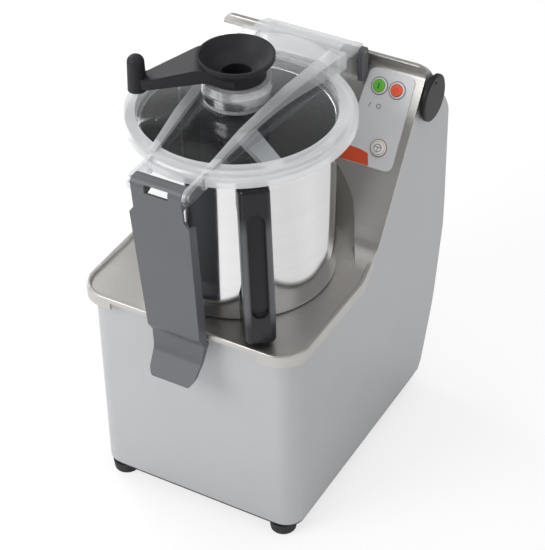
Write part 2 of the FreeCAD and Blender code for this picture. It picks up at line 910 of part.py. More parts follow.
def cooling_fan():
    thick = fan_blade_thickness
    top = fan_bottom + fan_height
    hub = tube(fan_hub_radius, shaft_radius, fan_bottom, top, 0, bowl_y)
    disc = tube(fan_radius, shaft_radius, top - thick, top, 0, bowl_y)
    pieces = [hub, disc]
    for i in range(fan_blades):
        vane = block(fan_hub_radius - thick / 2, fan_radius - thick / 4, bowl_y - thick / 2, bowl_y + thick / 2,
                     fan_bottom, top - thick / 2)
        pieces.append(spun(vane, i * 360.0 / fan_blades, bowl_y))
    return joined(pieces)


def drive_unit():
    """Motor drive on the base, with its cooling fins on top."""
    low = body_bottom
    case = block(-drive_half_width, drive_half_width, drive_front_y, drive_back_y, low, low + drive_height)
    pieces = [case]
    pitch = 2 * (drive_half_width - fin_margin) / (fin_count - 1)
    for i in range(fin_count):
        x = -drive_half_width + fin_margin + i * pitch
        pieces.append(block(x - fin_thickness / 2, x + fin_thickness / 2, drive_front_y + fin_thickness,
                            drive_back_y - fin_thickness, low + drive_height, low + drive_height + fin_height))
    return joined(pieces)


def bowl_shell():
    inner = bowl_radius - bowl_wall
    rim_top = bowl_rim_z + bowl_rim_thickness
    bore = column_radius - bowl_wall
    return turned([(bore, tray_level, 0),
                   (bowl_radius, tray_level, bowl_bottom_round),
                   (bowl_radius, bowl_rim_z, 0),
                   (bowl_rim_radius, bowl_rim_z, 0),
                   (bowl_rim_radius, rim_top, 0),
                   (inner, rim_top, 0),
                   (inner, tray_level + bowl_wall, bowl_bottom_round - bowl_wall),
                   (column_radius, tray_level + bowl_wall, 0),
                   (column_radius, column_top, 0),
                   (bore, column_top, 0)], 0, bowl_y)


def stud_levels():
    return [handle_bottom + handle_bridge / 2, handle_top - handle_bridge / 2]


def beside_bowl(shape):
    """Turns a shape drawn along +X from the bowl's axis to the handle's place."""
    shape = spun(shape, handle_angle)
    shape.translate(V(0, bowl_y, 0))
    return shape


def bowl_handle():
    """Upright grip joined to the bowl at both ends, bowed at the front, with a scoop for the thumb."""
    half = handle_width / 2
    inside = bowl_radius - 2 * bowl_wall
    side = [(inside, handle_bottom, 0), (handle_bottom_reach, handle_bottom, handle_end_round),
            (handle_bottom_reach, handle_bottom + handle_bow_height, handle_bow_round),
            (handle_top_reach, handle_top, handle_end_round), (inside, handle_top, 0)]
    body = front_prism(side, -half, half)
    edges = [edge for edge in body.Edges
             if edge.BoundBox.XMin > bowl_radius + half / 2 and edge.BoundBox.YLength < fit_gap]
    body = body.makeFillet(handle_edge_round, edges)
    gap_low = handle_bottom + handle_bridge
    gap_high = handle_top - handle_bridge
    gap = front_prism([(inside - half, gap_low, 0),
                       (handle_bottom_reach - handle_grip_depth, gap_low, handle_gap_round),
                       (handle_top_reach - handle_grip_depth + bowl_rim_thickness, gap_high, handle_gap_round),
                       (inside - half, gap_high, 0)], -far, far)
    body = body.cut(gap).cut(handle_scoop()).cut(rod(bowl_radius, 0.0, far + far))
    for z in stud_levels():
        body = body.cut(cross_rod(stud_radius, inside, bowl_radius + stud_length, 0.0, z))
    return beside_bowl(body)


def handle_scoop():
    """Long round-ended hollow along the front of the grip, parallel to its slope."""
    half = handle_scoop_width / 2
    low = handle_bottom + handle_scoop_start
    high = handle_top - handle_scoop_end
    top_x = handle_top_reach - handle_scoop_depth + bowl_rim_thickness
    scoop = front_prism([(handle_bottom_reach - handle_scoop_depth, low, handle_scoop_round), (far, low, 0),
                         (far, high, 0), (top_x, high, handle_scoop_round)], -half, half)
    ends = half - fit_gap / 2
    face = outline([(-half, low, ends), (half, low, ends), (half, high, ends), (-half, high, ends)], in_side(0.0))
    return scoop.common(Part.Face(face).extrude(X_AXIS * far))


def handle_studs():
    """Studs welded to the outside of the bowl, which the ends of the handle are screwed on to."""
    studs = []
    for z in stud_levels():
        stud = cross_rod(stud_radius, bowl_radius - bowl_wall, bowl_radius + stud_length, 0.0, z)
        studs.append(beside_bowl(stud.cut(rod(bowl_radius, 0.0, far + far))))
    return Part.makeCompound(studs)


def blade_hub():
    """Bell-shaped hub that drops over the bowl's column and is driven by the shaft's flats."""
    inner = column_radius + blade_column_gap
    roof = column_top + blade_roof_gap
    hub = turned([(inner, blade_hub_bottom, 0), (blade_hub_radius, blade_hub_bottom, 0),
                  (blade_hub_radius, high_blade_z + 3 * blade_thickness, 0),
                  (blade_hub_radius - blade_hub_taper, blade_hub_top, blade_hub_round),
                  (0, blade_hub_top, 0), (0, roof, 0), (inner, roof, 0)], 0, bowl_y)
    seat = rod(shaft_radius, column_top, blade_hub_top - blade_cap)
    seat = seat.common(block(-shaft_flat, shaft_flat, -far, far, 0.0, far + far))
    seat.translate(V(0, bowl_y, 0))
    return hub.cut(seat)


def polar(radius, angle):
    return V(radius * math.cos(math.radians(angle)), radius * math.sin(math.radians(angle)), 0)


def bowed(start, end, sag):
    """Arc from start to end whose middle stands off the chord, to its left, by that share of it."""
    chord = end - start
    return Part.Arc(start, (start + end) / 2 + V(-chord.y, chord.x, 0) * sag, end).toShape()


def scallops(edge):
    """Round cutters along the blade's leading edge, leaning out so that each leaves a ground bevel."""
    lean = math.radians(tooth_lean)
    cutters = []
    for i in range(blade_teeth):
        share = (i + 0.5) / (blade_teeth + 1)
        on_edge = edge.valueAt(edge.FirstParameter + share * (edge.LastParameter - edge.FirstParameter))
        outward = (on_edge - edge.Curve.Center).normalize()
        axis = outward * math.sin(lean) + Z_AXIS * math.cos(lean)
        foot = on_edge + outward * (tooth_radius - tooth_depth) - axis * blade_width
        cutters.append(Part.makeCylinder(tooth_radius, 2 * blade_width, foot, axis))
    return Part.makeCompound(cutters)


def blade(level):
    """Sickle blade: convex leading edge with a row of ground scallops, hollow trailing edge."""
    inside = blade_hub_radius - blade_thickness
    tip_turn = math.degrees(blade_tip_width / blade_tip_radius)
    lead_tip = polar(blade_tip_radius, 0.0)
    trail_tip = polar(blade_tip_radius, -tip_turn)
    lead_root = polar(inside, blade_root_angle)
    trail_root = polar(inside, blade_root_angle - math.degrees(blade_width / inside))
    lead = bowed(lead_tip, lead_root, -blade_belly)
    root = Part.LineSegment(lead_root, trail_root).toShape()
    trail = bowed(trail_root, trail_tip, blade_hollow)
    tip = Part.Arc(trail_tip, polar(blade_tip_radius, -tip_turn / 2), lead_tip).toShape()
    body = Part.Face(Part.Wire([lead, root, trail, tip])).extrude(Z_AXIS * blade_thickness)
    body = body.cut(rod(blade_hub_radius, -far, far)).cut(scallops(lead))
    body.translate(V(0, 0, level))
    return body


def placed_blade(level, angle):
    body = spun(blade(level), angle)
    body.translate(V(0, bowl_y, 0))
    return body


def scraper_hub():
    """Open cup that the crank turns; its foot runs on the top of the blade hub."""
    foot = blade_hub_top + fit_gap
    cup_low = scraper_cup_floor + scraper_cup_wall
    hub = turned([(0, foot, 0), (scraper_post_radius, foot, 0),
                  (scraper_post_radius, scraper_cup_floor - scraper_cup_taper, 0),
                  (scraper_radius, scraper_cup_floor, 0), (scraper_radius, scraper_top, 0),
                  (scraper_bore, scraper_top, 0), (scraper_bore, cup_low, 0), (0, cup_low, 0)], 0, bowl_y)
    between_arms = (dark_arm_angle + light_arm_angle) / 2
    half = scraper_window / 2
    for angle in (between_arms, between_arms + 180.0):
        window = block(0.0, far, -half, half, cup_low, arm_level - scraper_cup_wall)
        window = spun(window, angle)
        window.translate(V(0, bowl_y, 0))
        hub = hub.cut(window)
    slot = block(-far, far, bowl_y - dog_half_width - dog_gap, bowl_y + dog_half_width + dog_gap,
                 scraper_top - dog_height, far + far)
    return hub.cut(spun(slot, arm_angle, bowl_y))


def scraper_arm(angle):
    """Flat arm from the hub towards the bowl wall, with a bend down to carry the wiper."""
    reach = bowl_radius - bowl_wall - wiper_gap - wiper_thickness
    half = scraper_arm_width / 2
    root = scraper_radius - scraper_arm_flare
    root_half = half + scraper_arm_flare
    arm_top = arm_level + arm_thickness
    flat = plan_prism([(root, -root_half, 0), (reach, -half, scraper_arm_flare), (reach, half, scraper_arm_flare),
                       (root, root_half, 0)], arm_level, arm_top)
    drop = block(reach - drop_thickness, reach, -half, half, wiper_bottom + drop_rise, arm_top - scraper_arm_flare)
    arm = joined([flat, drop])
    arm = arm.cut(rod(scraper_radius, 0.0, far + far))
    arm = arm.common(rod(reach, 0.0, far + far))
    arm = spun(arm, angle)
    arm.translate(V(0, bowl_y, 0))
    return arm


def wall_wiper(angle):
    """Soft strip on the face of the arm, 1 mm clear of the bowl wall."""
    reach = bowl_radius - bowl_wall - wiper_gap
    half = wiper_width / 2
    strip = block(0.0, reach, -half, half, wiper_bottom, arm_level + arm_thickness - wiper_drop)
    strip = strip.common(tube(reach, reach - wiper_thickness, 0.0, far + far))
    strip = spun(strip, angle)
    strip.translate(V(0, bowl_y, 0))
    return strip


def funnel():
    """Funnel on a spigot that turns in the lid's throat, still solid inside."""
    top = funnel_top
    spigot = throat_radius - running_gap
    shoulder = throat_top + fit_gap
    return turned([(0, spigot_bottom, 0), (spigot, spigot_bottom, 0), (spigot, shoulder, 0),
                   (crank_radius, shoulder, 0), (crank_radius + fit_gap, top - 4 * funnel_lip, 10.0),
                   (funnel_radius, top - funnel_lip, 0), (funnel_radius, top, 0), (0, top, 0)])


def funnel_mouth():
    """Conical hollow of the funnel and its bore."""
    low = spigot_bottom - dog_height
    top = funnel_top
    return turned([(0, low, 0), (funnel_bore, low, 0), (funnel_bore, top - 5 * funnel_lip, 0),
                   (funnel_radius - 3 * funnel_lip, top - 3 * funnel_lip, 0),
                   (funnel_radius - funnel_wall, top, 0), (0, top, 0)])


def crank_arm():
    """Arm along +X: a triangle in plan, that bends down and then runs level to the grip."""
    end = arm_length + arm_tip_round
    plan = [(0, -arm_root_half_width, 0), (arm_length, -arm_tip_half_width, 0),
            (end, -arm_tip_half_width / 2, 0), (end, arm_tip_half_width / 2, 0),
            (arm_length, arm_tip_half_width, 0), (0, arm_root_half_width, 0)]
    side = [(0, arm_root_bottom, 0), (arm_bend, arm_root_bottom, arm_bend_round),
            (arm_length - grip_radius, arm_tip_bottom, arm_bend_round), (end, arm_tip_bottom, 0),
            (end, arm_tip_top, 0), (arm_length - grip_radius, arm_tip_top, arm_bend_round),
            (arm_bend + funnel_wall * 4, arm_root_top, arm_bend_round), (0, arm_root_top, 0)]
    return plan_prism(plan, 0.0, far + far).common(front_prism(side, -far, far))


def crank():
    """Funnel, arm and grip in one moulding; two dogs on its foot turn the scraper."""
    grip_top = grip_bottom + grip_height
    grip = turned([(0, grip_bottom, 0), (grip_radius, grip_bottom, 0),
                   (grip_radius - grip_taper, grip_top, grip_dome), (0, grip_top, 0)], arm_length, 0.0)
    outer = scraper_radius - running_gap
    dogs = block(-outer, outer, -dog_half_width, dog_half_width, spigot_bottom - dog_height, spigot_bottom)
    dogs = dogs.common(tube(outer, scraper_bore + running_gap, 0.0, far + far))
    body = joined([joined([funnel(), crank_arm(), grip]).cut(funnel_mouth())] + dogs.Solids)
    body = spun(body, arm_angle)
    body.translate(V(0, bowl_y, 0))
    return body


def lid_profile():
    """Section of the clear lid: domed window, thick rounded rim and the central throat."""
    ring_top = lid_ring_bottom + lid_ring_height
    throat_out = throat_radius + throat_wall
    groove_top = bowl_rim_z + bowl_rim_thickness + lid_seal_height + 2 * fit_gap
    groove_radius_out = bowl_rim_radius + lid_skirt_gap
    inside = lid_window_radius - lid_window_step
    return [(throat_radius, throat_base, 0),
            (inside, lid_window_z - lid_thickness, 0),
            (inside, groove_top, 0),
            (groove_radius_out, groove_top, 0),
            (groove_radius_out, lid_ring_bottom, 0),
            (lid_radius - lid_window_step, lid_ring_bottom, 0),
            (lid_radius, lid_ring_bottom + lid_window_step, 0),
            (lid_radius, ring_top, lid_ring_round),
            (lid_window_radius + lid_window_step, ring_top, 0),
            (lid_window_radius, lid_window_z, 0),
            (throat_out, throat_base + lid_thickness, 0),
            (throat_out, throat_top, 0),
            (throat_radius, throat_top, 0)]


def lid_rib():
    """Right-hand stiffening rib, from the front ear up over the window to the hinge hood."""
    front = rib_front_y
    rear = rib_rear_y
    half = rib_rear_width / 2
    plan = plan_prism([(rib_front_x, front, 0), (rib_front_x + rib_front_width, front, 0),
                       (rib_rear_x + half, rear, 0), (rib_rear_x - half, rear, 0)], 0.0, far + far)
    top = lid_ring_bottom + lid_ring_height
    low = top - lid_ring_height / 2
    arch = [(front, low, 0), (rear, low, 0), (rear, top + rib_rear_rise, 0),
            (rear - (rear - front) * 0.39, top + rib_crest_rise, rib_round),
            (front + (rear - front) * 0.25, top + rib_middle_rise, rib_round), (front, top + rib_front_rise, 0)]
    return plan.common(side_prism(arch, 0.0, far))


def hinge_hood():
    """Clear hood behind the rim that reaches back to the hinge pin."""
    ring_top = lid_ring_bottom + lid_ring_height
    low = hinge_z - hood_drop
    knuckle = lug_radius
    crest = [(hinge_y - 2 * knuckle, hinge_z + 3 * knuckle, hood_round), (hood_crest_y, hood_crest_z, hood_round),
             (hood_front_y, ring_top + 2 * lid_thickness, 0)]
    outside = [(hood_front_y, ring_top - lid_ring_height / 2, 0), (hinge_y - knuckle, low, hinge_wall),
               (hinge_y + knuckle, low, lid_thickness),
               (hinge_y + knuckle, hinge_z + knuckle, knuckle - 0.01)] + crest
    lowered = [(y, z - hinge_wall, r) for y, z, r in crest]
    under_pin = hinge_z - hinge_pin_radius - hinge_wall
    inside = [(hood_front_y - hood_round, low - hood_drop, 0), (hinge_y + far, low - hood_drop, 0),
              (hinge_y + far, under_pin, 0), (hinge_y, under_pin, 0)] + lowered
    hood = side_prism(outside, -hinge_half_width, hinge_half_width)
    hollow = side_prism(inside, -hinge_half_width + hinge_wall, hinge_half_width - hinge_wall)
    return hood.cut(hollow)


def lid():
    ring = turned(lid_profile(), 0, bowl_y)
    clear_under = rod(bowl_rim_radius + fit_gap, 0.0, lid_window_z - lid_window_step, 0, bowl_y)
    throat = rod(throat_radius, 0.0, far + far, 0, bowl_y)
    rib = lid_rib()
    ear_x0 = lever_neck_half_width + running_gap
    ear = side_prism([(pivot_y - ear_radius, pivot_z - ear_radius, ear_radius - 0.01),
                      (rib_front_y + ear_thickness, pivot_z - ear_radius, 0),
                      (rib_front_y + ear_thickness, pivot_z + ear_radius, 0),
                      (pivot_y - ear_radius, pivot_z + ear_radius, ear_radius - 0.01)],
                     ear_x0, ear_x0 + ear_thickness)
    ear = ear.cut(rod(lid_radius - lid_thickness, 0.0, far + far, 0, bowl_y))
    body = joined([ring, rib, mirrored(rib), hinge_hood().cut(clear_under), ear, mirrored(ear)])
    body = body.cut(throat)
    body = body.cut(cross_rod(hinge_pin_radius + shaft_clearance, -far, far, hinge_y, hinge_z))
    return body.cut(cross_rod(lever_pin_radius, -far, far, pivot_y, pivot_z))


def lid_collar():
    """Bright stepped collar round the throat of the lid."""
    inner = throat_radius + throat_wall
    middle = inner + collar_thickness / 2
    low = throat_top - collar_height
    step_z0 = low + collar_height * 0.4
    step_z1 = low + collar_height * 0.6
    return turned([(inner, low, 0), (middle, low, 0), (inner + collar_thickness, step_z0, 0),
                   (inner + collar_thickness, step_z1, 0), (middle, step_z1 + collar_thickness, 0),
                   (middle, throat_top - fit_gap, 0), (inner, throat_top - fit_gap, 0)], 0, bowl_y)


def lid_seal():
    low = bowl_rim_z + bowl_rim_thickness + fit_gap
    high = low + lid_seal_height + fit_gap
    return tube(bowl_rim_radius - lid_window_step, lid_window_radius, low, high, 0, bowl_y)


def hinge_pin():
    return cross_rod(hinge_pin_radius, -notch_half_width, notch_half_width, hinge_y, hinge_z)


def hinge_lugs():
    """Two posts in the notch that carry the ends of the hinge pin."""
    low = notch_floor
    lug = side_prism([(hinge_y - lug_radius, low, 0), (hinge_y + lug_radius, low, 0),
                      (hinge_y + lug_radius, hinge_z + lug_radius, lug_radius - 0.01),
                      (hinge_y - lug_radius, hinge_z + lug_radius, lug_radius - 0.01)],
                     hinge_half_width + running_gap, notch_half_width)
    lug = lug.cut(cross_rod(hinge_pin_radius, -far, far, hinge_y, hinge_z))
    return Part.makeCompound([lug, mirrored(lug)])


def lever_front_line(z):
    """Y of the lever's front face at height z."""
    top_y = pivot_y - pivot_radius
    share = (pivot_z - z) / (pivot_z - lever_foot_z)
    return top_y + (lever_foot_y - top_y) * share


def lever_side():
    """Side view of the lever: a web, thick at the pivot, then the hook and the bent thumb tab."""
    hook_z = tray_under - hook_gap
    hook_y = lip_front + hook_overlap
    hook_low = hook_z - 2 * lever_web
    front_y = lip_front - hook_clearance
    thumb_y = front_y - 8.0
    return [(pivot_y - pivot_radius, pivot_z + pivot_radius, pivot_radius - 0.01),
            (pivot_y - pivot_radius, pivot_z, 0),
            (lever_foot_y, lever_foot_z - 4.0, 2.0),
            (front_y - 2 * lever_web, hook_z - 1.0, 6.0),
            (thumb_y, tab_tip_z + 24.0, 20.0),
            (tab_tip_y, tab_tip_z, 0.8), (tab_tip_y + tab_thickness, tab_tip_z - 2.0, 0.8),
            (front_y - 4.0, tab_tip_z + 21.0, 20.0),
            (hook_y - 2.0, hook_low - lever_web, 4.0), (hook_y, hook_low, 0.8),
            (hook_y, hook_z, 0.8), (front_y - 0.6, hook_z, 0.6),
            (front_y, lever_foot_z - 2.0, 1.0),
            (lever_foot_y + lever_web + 1.0, lever_foot_z + 2 * lever_web, 4.0),
            (lever_front_line(lever_neck_z) + lever_web, lever_neck_z, 0),
            (pivot_y + pivot_radius, pivot_z - pivot_radius, 3.0),
            (pivot_y + pivot_radius, pivot_z + pivot_radius, pivot_radius - 0.01)]


def lever_flanges():
    """The two side walls that stiffen the lever's web, open towards the bowl."""
    top = pivot_z - 36.0
    wide = lever_top_half_width
    front_y = lip_front - hook_clearance
    inset = running_gap
    both = side_prism([(lever_front_line(top) + inset, top, 0), (lever_foot_y + inset, lever_foot_z, 0),
                       (front_y - 1.0, lever_foot_z - 2 * lever_web, 0), (front_y - 0.6, lever_foot_z, 2.0),
                       (lever_front_line(top) + lever_depth, top, 3.0)], -wide, wide)
    low_half = lever_low_half_width - lever_web
    high_half = wide - lever_web
    return both.cut(front_prism([(-low_half, 0.0, 0), (low_half, 0.0, 0), (low_half, lever_foot_z, 0),
                                 (high_half, top + 1.0, 0), (-high_half, top + 1.0, 0),
                                 (-low_half, lever_foot_z, 0)], -far, far))


def latch_lever():
    """Channel-shaped lever with a slot through its top, a hook for the tray lip and a thumb tab."""
    low = lever_low_half_width
    wide = lever_top_half_width
    neck = lever_neck_half_width
    tab = low - 5.0
    tab_z = tab_tip_z - lever_web
    shoulder_z = pivot_z - 33.0
    neck_z = pivot_z - 26.0
    top_z = pivot_z + pivot_radius + lever_web
    right = [(tab, tab_z, tab_round), (low, tray_under - 8.0, 0), (low, lever_foot_z, 0),
             (wide, shoulder_z, 1.5), (neck, neck_z, 1.0), (neck, top_z, 0)]
    left = [(-x, z, radius) for x, z, radius in reversed(right)]
    core = side_prism(lever_side(), -wide, wide)
    body = joined([core, lever_flanges()]).common(front_prism(right + left, -far, 0.0))
    slot_low = pivot_z - slot_height / 2
    slot_high = slot_low + slot_height
    body = body.cut(block(-slot_half_width, slot_half_width, -far, 0.0, slot_low, slot_high))
    hollow = slot_half_width + lever_web
    body = body.cut(block(-hollow, hollow, pivot_y - pivot_radius + lever_web, 0.0, lever_neck_z, slot_high))
    return body.cut(cross_rod(lever_pin_radius + shaft_clearance, -far, far, pivot_y, pivot_z))


def lever_pins():
    outer = lever_neck_half_width + running_gap + ear_thickness
    shank = cross_rod(lever_pin_radius, slot_half_width + lever_web, outer, pivot_y, pivot_z)
    head = cross_rod(lever_pin_radius * 1.7, outer, outer + lever_pin_radius / 1.6, pivot_y, pivot_z)
    pin = joined([shank, head])
    return Part.makeCompound([pin, mirrored(pin)])


def control_panel():
    """Thin overlay on the right-hand block of the sloping face."""
    plate = plan_prism([(panel_left, panel_start, panel_round), (panel_right, panel_start, panel_round),
                        (panel_right, panel_start + panel_length, panel_round),
                        (notch_half_width + sheet, panel_start + panel_length, panel_round)],
                       0.0, panel_thickness)
    for x, along in button_places():
        plate = plate.cut(rod(button_radius + running_gap, -sheet, sheet, x, along))
    plate = laid_on_incline(plate)
    return plate.cut(pocket(fit_gap, 0.0)).cut(notch(fit_gap))


def button_places():
    return [(start_x, start_along), (stop_x, start_along), (pulse_x, pulse_along)]


def panel_holes():
    holes = [rod(stem_radius + running_gap, -2 * sheet, sheet, x, along) for x, along in button_places()]
    return laid_on_incline(Part.makeCompound(holes))


def button_bezels():
    """Raised rings on the overlay, one round each button."""
    rings = []
    for x, along in button_places():
        outer = button_radius
        inner = outer - button_rim
        rings.append(turned([(inner, 0, 0), (outer, 0, 0), (outer, button_height - button_edge, 0),
                             (outer - button_edge, button_height, 0), (inner, button_height, 0)], x, along))
    return laid_on_incline(Part.makeCompound(rings))


def push_button(x, along):
    """Round cap in its ring, with a stem through the sheet to the switch on the board."""
    cap_radius = button_radius - button_rim - fit_gap
    low = button_travel + fit_gap
    top = button_height + button_crown
    cap = turned([(0, low, 0), (cap_radius, low, 0), (cap_radius, top - button_edge, 0),
                  (cap_radius - button_edge, top, 0), (0, top, 0)], x, along)
    switch_top = -board_depth + board_thickness + switch_height + button_travel + fit_gap
    stem = rod(stem_radius, switch_top, (low + top) / 2, x, along)
    return laid_on_incline(joined([cap, stem]))


def control_board():
    """Circuit board behind the sloping face, with one switch under each button."""
    back = -board_depth
    face = back + board_thickness
    half = switch_half_width
    pieces = [block(board_left, board_right, pulse_along - board_low_margin, start_along + board_high_margin,
                    back, face)]
    for x, along in button_places():
        pieces.append(block(x - half, x + half, along - half, along + half, back, face + switch_height))
    chip_left = board_left + chip_inset
    chip_low = (pulse_along + start_along - chip_length) / 2
    pieces.append(block(chip_left, chip_left + chip_width, chip_low, chip_low + chip_length, back, face + chip_height))
    board = laid_on_incline(joined(pieces))
    return board.cut(pocket(sheet + board_post_inset, 0.0))


def board_posts():
    """Pillars from the inside of the sloping face to the board's corners, clear of the bowl's recess."""
    left = board_left + board_post_inset
    right = board_right - board_post_inset
    low = pulse_along - board_low_margin + board_post_inset
    high = start_along - lid_switch_height
    posts = [rod(board_post_radius, -board_depth + board_thickness, -sheet, x, along)
             for x, along in ((left, high), (right, high), (right, low))]
    return laid_on_incline(Part.makeCompound(posts))


def beside_tower(shape):
    """Turns a shape drawn along Z on to the right wall, outwards, at the knob's place."""
    shape.rotate(V(0, 0, 0), Y_AXIS, 90)
    shape.translate(V(body_half_width, knob_y, knob_z))
    return shape


def knob_base():
    """Flat ring on the side wall under the knob."""
    bore = spindle_radius + spindle_clearance
    return beside_tower(turned([(bore, 0, 0), (knob_base_radius, 0, 0),
                                (knob_base_radius - knob_base_edge, knob_base_thickness, 0),
                                (bore, knob_base_thickness, 0)]))


def speed_knob():
    """Disc knob with a dimple for a pointer and a neck towards the wall."""
    neck_start = knob_base_thickness + fit_gap
    disc_start = knob_stand - knob_thickness
    roof = knob_stand - spindle_bite
    knob = turned([(spindle_radius, neck_start, 0), (knob_neck_radius, neck_start, 0),
                   (knob_neck_radius + knob_neck_flare, disc_start, 0), (knob_radius, disc_start, 0),
                   (knob_radius, knob_stand - knob_edge / 2, 0), (knob_radius - knob_edge, knob_stand, 0),
                   (0, knob_stand, 0), (0, roof, 0), (spindle_radius, roof, 0)])
    dimple = rod(dimple_radius, knob_stand - dimple_depth, knob_stand + wall, dimple_inset - knob_radius, 0)
    return beside_tower(knob.cut(dimple))


def knob_spindle():
    start = body_half_width - wall - pot_length + pot_floor
    return cross_rod(spindle_radius, start, body_half_width + knob_stand - spindle_bite, knob_y, knob_z)


def speed_dial():
    """Potentiometer on the inside of the right wall."""
    end = body_half_width - wall
    body = cross_rod(pot_radius, end - pot_length, end, knob_y, knob_z)
    bore = spindle_radius + shaft_clearance
    return body.cut(cross_rod(bore, end - pot_length + pot_floor, end + wall, knob_y, knob_z))


def lid_switch():
    """Sensor under the floor of the hinge notch that stops the motor when the lid opens."""
    top = notch_floor - sheet
    half = lid_switch_width / 2
    front = incline_foot_y + (top - tray_level) / math.tan(slope) + sheet / math.sin(slope) + running_gap
    return block(-half, half, front, front + lid_switch_depth, top - lid_switch_height, top)


PARTS = {
    "housing_shell": housing_shell,
    "top_cover": top_cover,
    "rear_cover": rear_cover,
    "rear_cover_screws": rear_screws,
    "base_plate": base_plate,
    "rubber_feet": rubber_feet,
    "foot_screws": foot_screws,
    "cable_gland": cable_gland,
    "motor_stator": motor_stator,
    "motor_lower_bell": lower_bell,
    "motor_upper_bell": upper_bell,
    "motor_posts": motor_posts,
    "lower_bearing": lambda: ball_bearing(lower_bearing_bottom),
    "upper_bearing": lambda: ball_bearing(upper_bearing_bottom),
    "shaft_seal": shaft_seal,
    "drive_unit": drive_unit,
    "motor_rotor": motor_rotor,
    "motor_shaft": motor_shaft,
    "cooling_fan": cooling_fan,
    "blade_hub": blade_hub,
    "lower_blade": lambda: placed_blade(low_blade_z, 0.0),
    "upper_blade": lambda: placed_blade(high_blade_z, 180.0),
    "bowl_shell": bowl_shell,
    "bowl_handle": bowl_handle,
    "handle_studs": handle_studs,
    "scraper_hub": scraper_hub,
    "scraper_dark_arm": lambda: scraper_arm(dark_arm_angle),
    "scraper_light_arm": lambda: scraper_arm(light_arm_angle),
    "dark_wiper": lambda: wall_wiper(dark_arm_angle),
    "light_wiper": lambda: wall_wiper(light_arm_angle),
    "lid": lid,
    "lid_collar": lid_collar,
    "lid_seal": lid_seal,
    "hinge_pin": hinge_pin,
    "hinge_lugs": hinge_lugs,
    "lever_pins": lever_pins,
    "latch_lever": latch_lever,
    "crank": crank,
    "control_panel": control_panel,
    "button_bezels": button_bezels,
    "start_button": lambda: push_button(start_x, start_along),
    "stop_button": lambda: push_button(stop_x, start_along),
    "pulse_button": lambda: push_button(pulse_x, pulse_along),
    "control_board": control_board,
    "board_posts": board_posts,
    "knob_base": knob_base,
    "speed_knob": speed_knob,
    "knob_spindle": knob_spindle,
    "speed_dial": speed_dial,
    "lid_switch": lid_switch,
}


os.makedirs("parts", exist_ok=True)
for name, make in PARTS.items():
    shape = make()
    if not shape.isValid():
        raise ValueError(name + " is not a valid shape")
    shape.exportStep(os.path.join("parts", name + ".step"))
    box = shape.BoundBox
    print("%-20s solids %d volume %10.0f  x %.1f %.1f  y %.1f %.1f  z %.1f %.1f"
          % (name, len(shape.Solids), shape.Volume, box.XMin, box.XMax, box.YMin, box.YMax, box.ZMin, box.ZMax))
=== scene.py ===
"""Table-top vegetable cutter: the looks of every piece, modelled round the construction frame."""

import json
import math

import bpy
from mathutils import Matrix, Vector


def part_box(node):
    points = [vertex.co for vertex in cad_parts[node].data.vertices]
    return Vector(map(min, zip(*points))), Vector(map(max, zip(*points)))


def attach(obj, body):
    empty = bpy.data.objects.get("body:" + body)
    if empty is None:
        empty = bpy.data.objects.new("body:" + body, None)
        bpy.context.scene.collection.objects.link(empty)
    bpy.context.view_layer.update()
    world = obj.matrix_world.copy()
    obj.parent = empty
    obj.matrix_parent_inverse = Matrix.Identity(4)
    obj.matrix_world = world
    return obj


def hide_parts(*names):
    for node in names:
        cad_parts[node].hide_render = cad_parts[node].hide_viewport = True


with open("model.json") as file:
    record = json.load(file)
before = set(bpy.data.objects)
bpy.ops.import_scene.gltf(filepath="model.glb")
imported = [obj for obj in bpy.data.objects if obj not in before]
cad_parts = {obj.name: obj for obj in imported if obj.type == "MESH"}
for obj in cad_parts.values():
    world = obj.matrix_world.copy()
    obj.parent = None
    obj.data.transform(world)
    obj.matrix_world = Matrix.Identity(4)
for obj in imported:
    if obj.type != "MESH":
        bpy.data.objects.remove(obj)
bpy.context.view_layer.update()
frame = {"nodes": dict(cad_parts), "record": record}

bl_info = {
    "name": "Table-top vegetable cutter",
    "version": (1, 0, 0),
    "blender": (4, 5, 0),
    "location": "View3D > Sidebar > Cutter",
    "description": "Models and finishes a table-top vegetable cutter, piece by piece",
    "category": "Object",
}

# Lengths are in metres, and in millimetres where a comment says so
MM = 0.001

# The bowl's upright axis and rim, worked out from the bowl's own box
BOWL_LOW, BOWL_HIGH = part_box("bowl_shell")
AXIS = Vector(((BOWL_LOW[0] + BOWL_HIGH[0]) / 2, (BOWL_LOW[1] + BOWL_HIGH[1]) / 2, 0.0))
RIM_RADIUS = (BOWL_HIGH[0] - BOWL_LOW[0]) / 2
RIM_TOP = BOWL_HIGH[2]

# The bowl, in millimetres: outside radius, wall, its column's radius and top, and the rim's thickness
BOWL_RADIUS = 97.0
BOWL_WALL = 1.8
COLUMN_RADIUS = 24.3
COLUMN_TOP = 334.0
RIM_THICK = 3.0

# The finish inside the bowl: where its wall starts, how rough it is, and the heights between which the floor's
# tone turns into the wall's darker tone, which is painted shade
INNER_WALL = RIM_RADIUS - 16.4 * MM
INSIDE_ROUGH = 0.30
FLOOR_TONE_TOP = BOWL_LOW[2] + 40.0 * MM
WALL_SHADE_LOW = BOWL_LOW[2] + 66.0 * MM

# The sloping face of the tower, from its foot on the tray, in millimetres
SLOPE = math.radians(56.1)
SLOPE_FOOT = Vector((0.0, 19.97, 254.0))
UP_SLOPE = Vector((0.0, math.cos(SLOPE), math.sin(SLOPE)))
OUT_OF_SLOPE = Vector((0.0, -math.sin(SLOPE), math.cos(SLOPE)))

# Print on the overlay and on the button caps, in millimetres: its height over the sloping face, how thick it is,
# and how far it sinks in
FILM_LIFT = 0.8
CAP_LIFT = 3.6
PRINT_THICK = 0.15
PRINT_SINK = 0.05

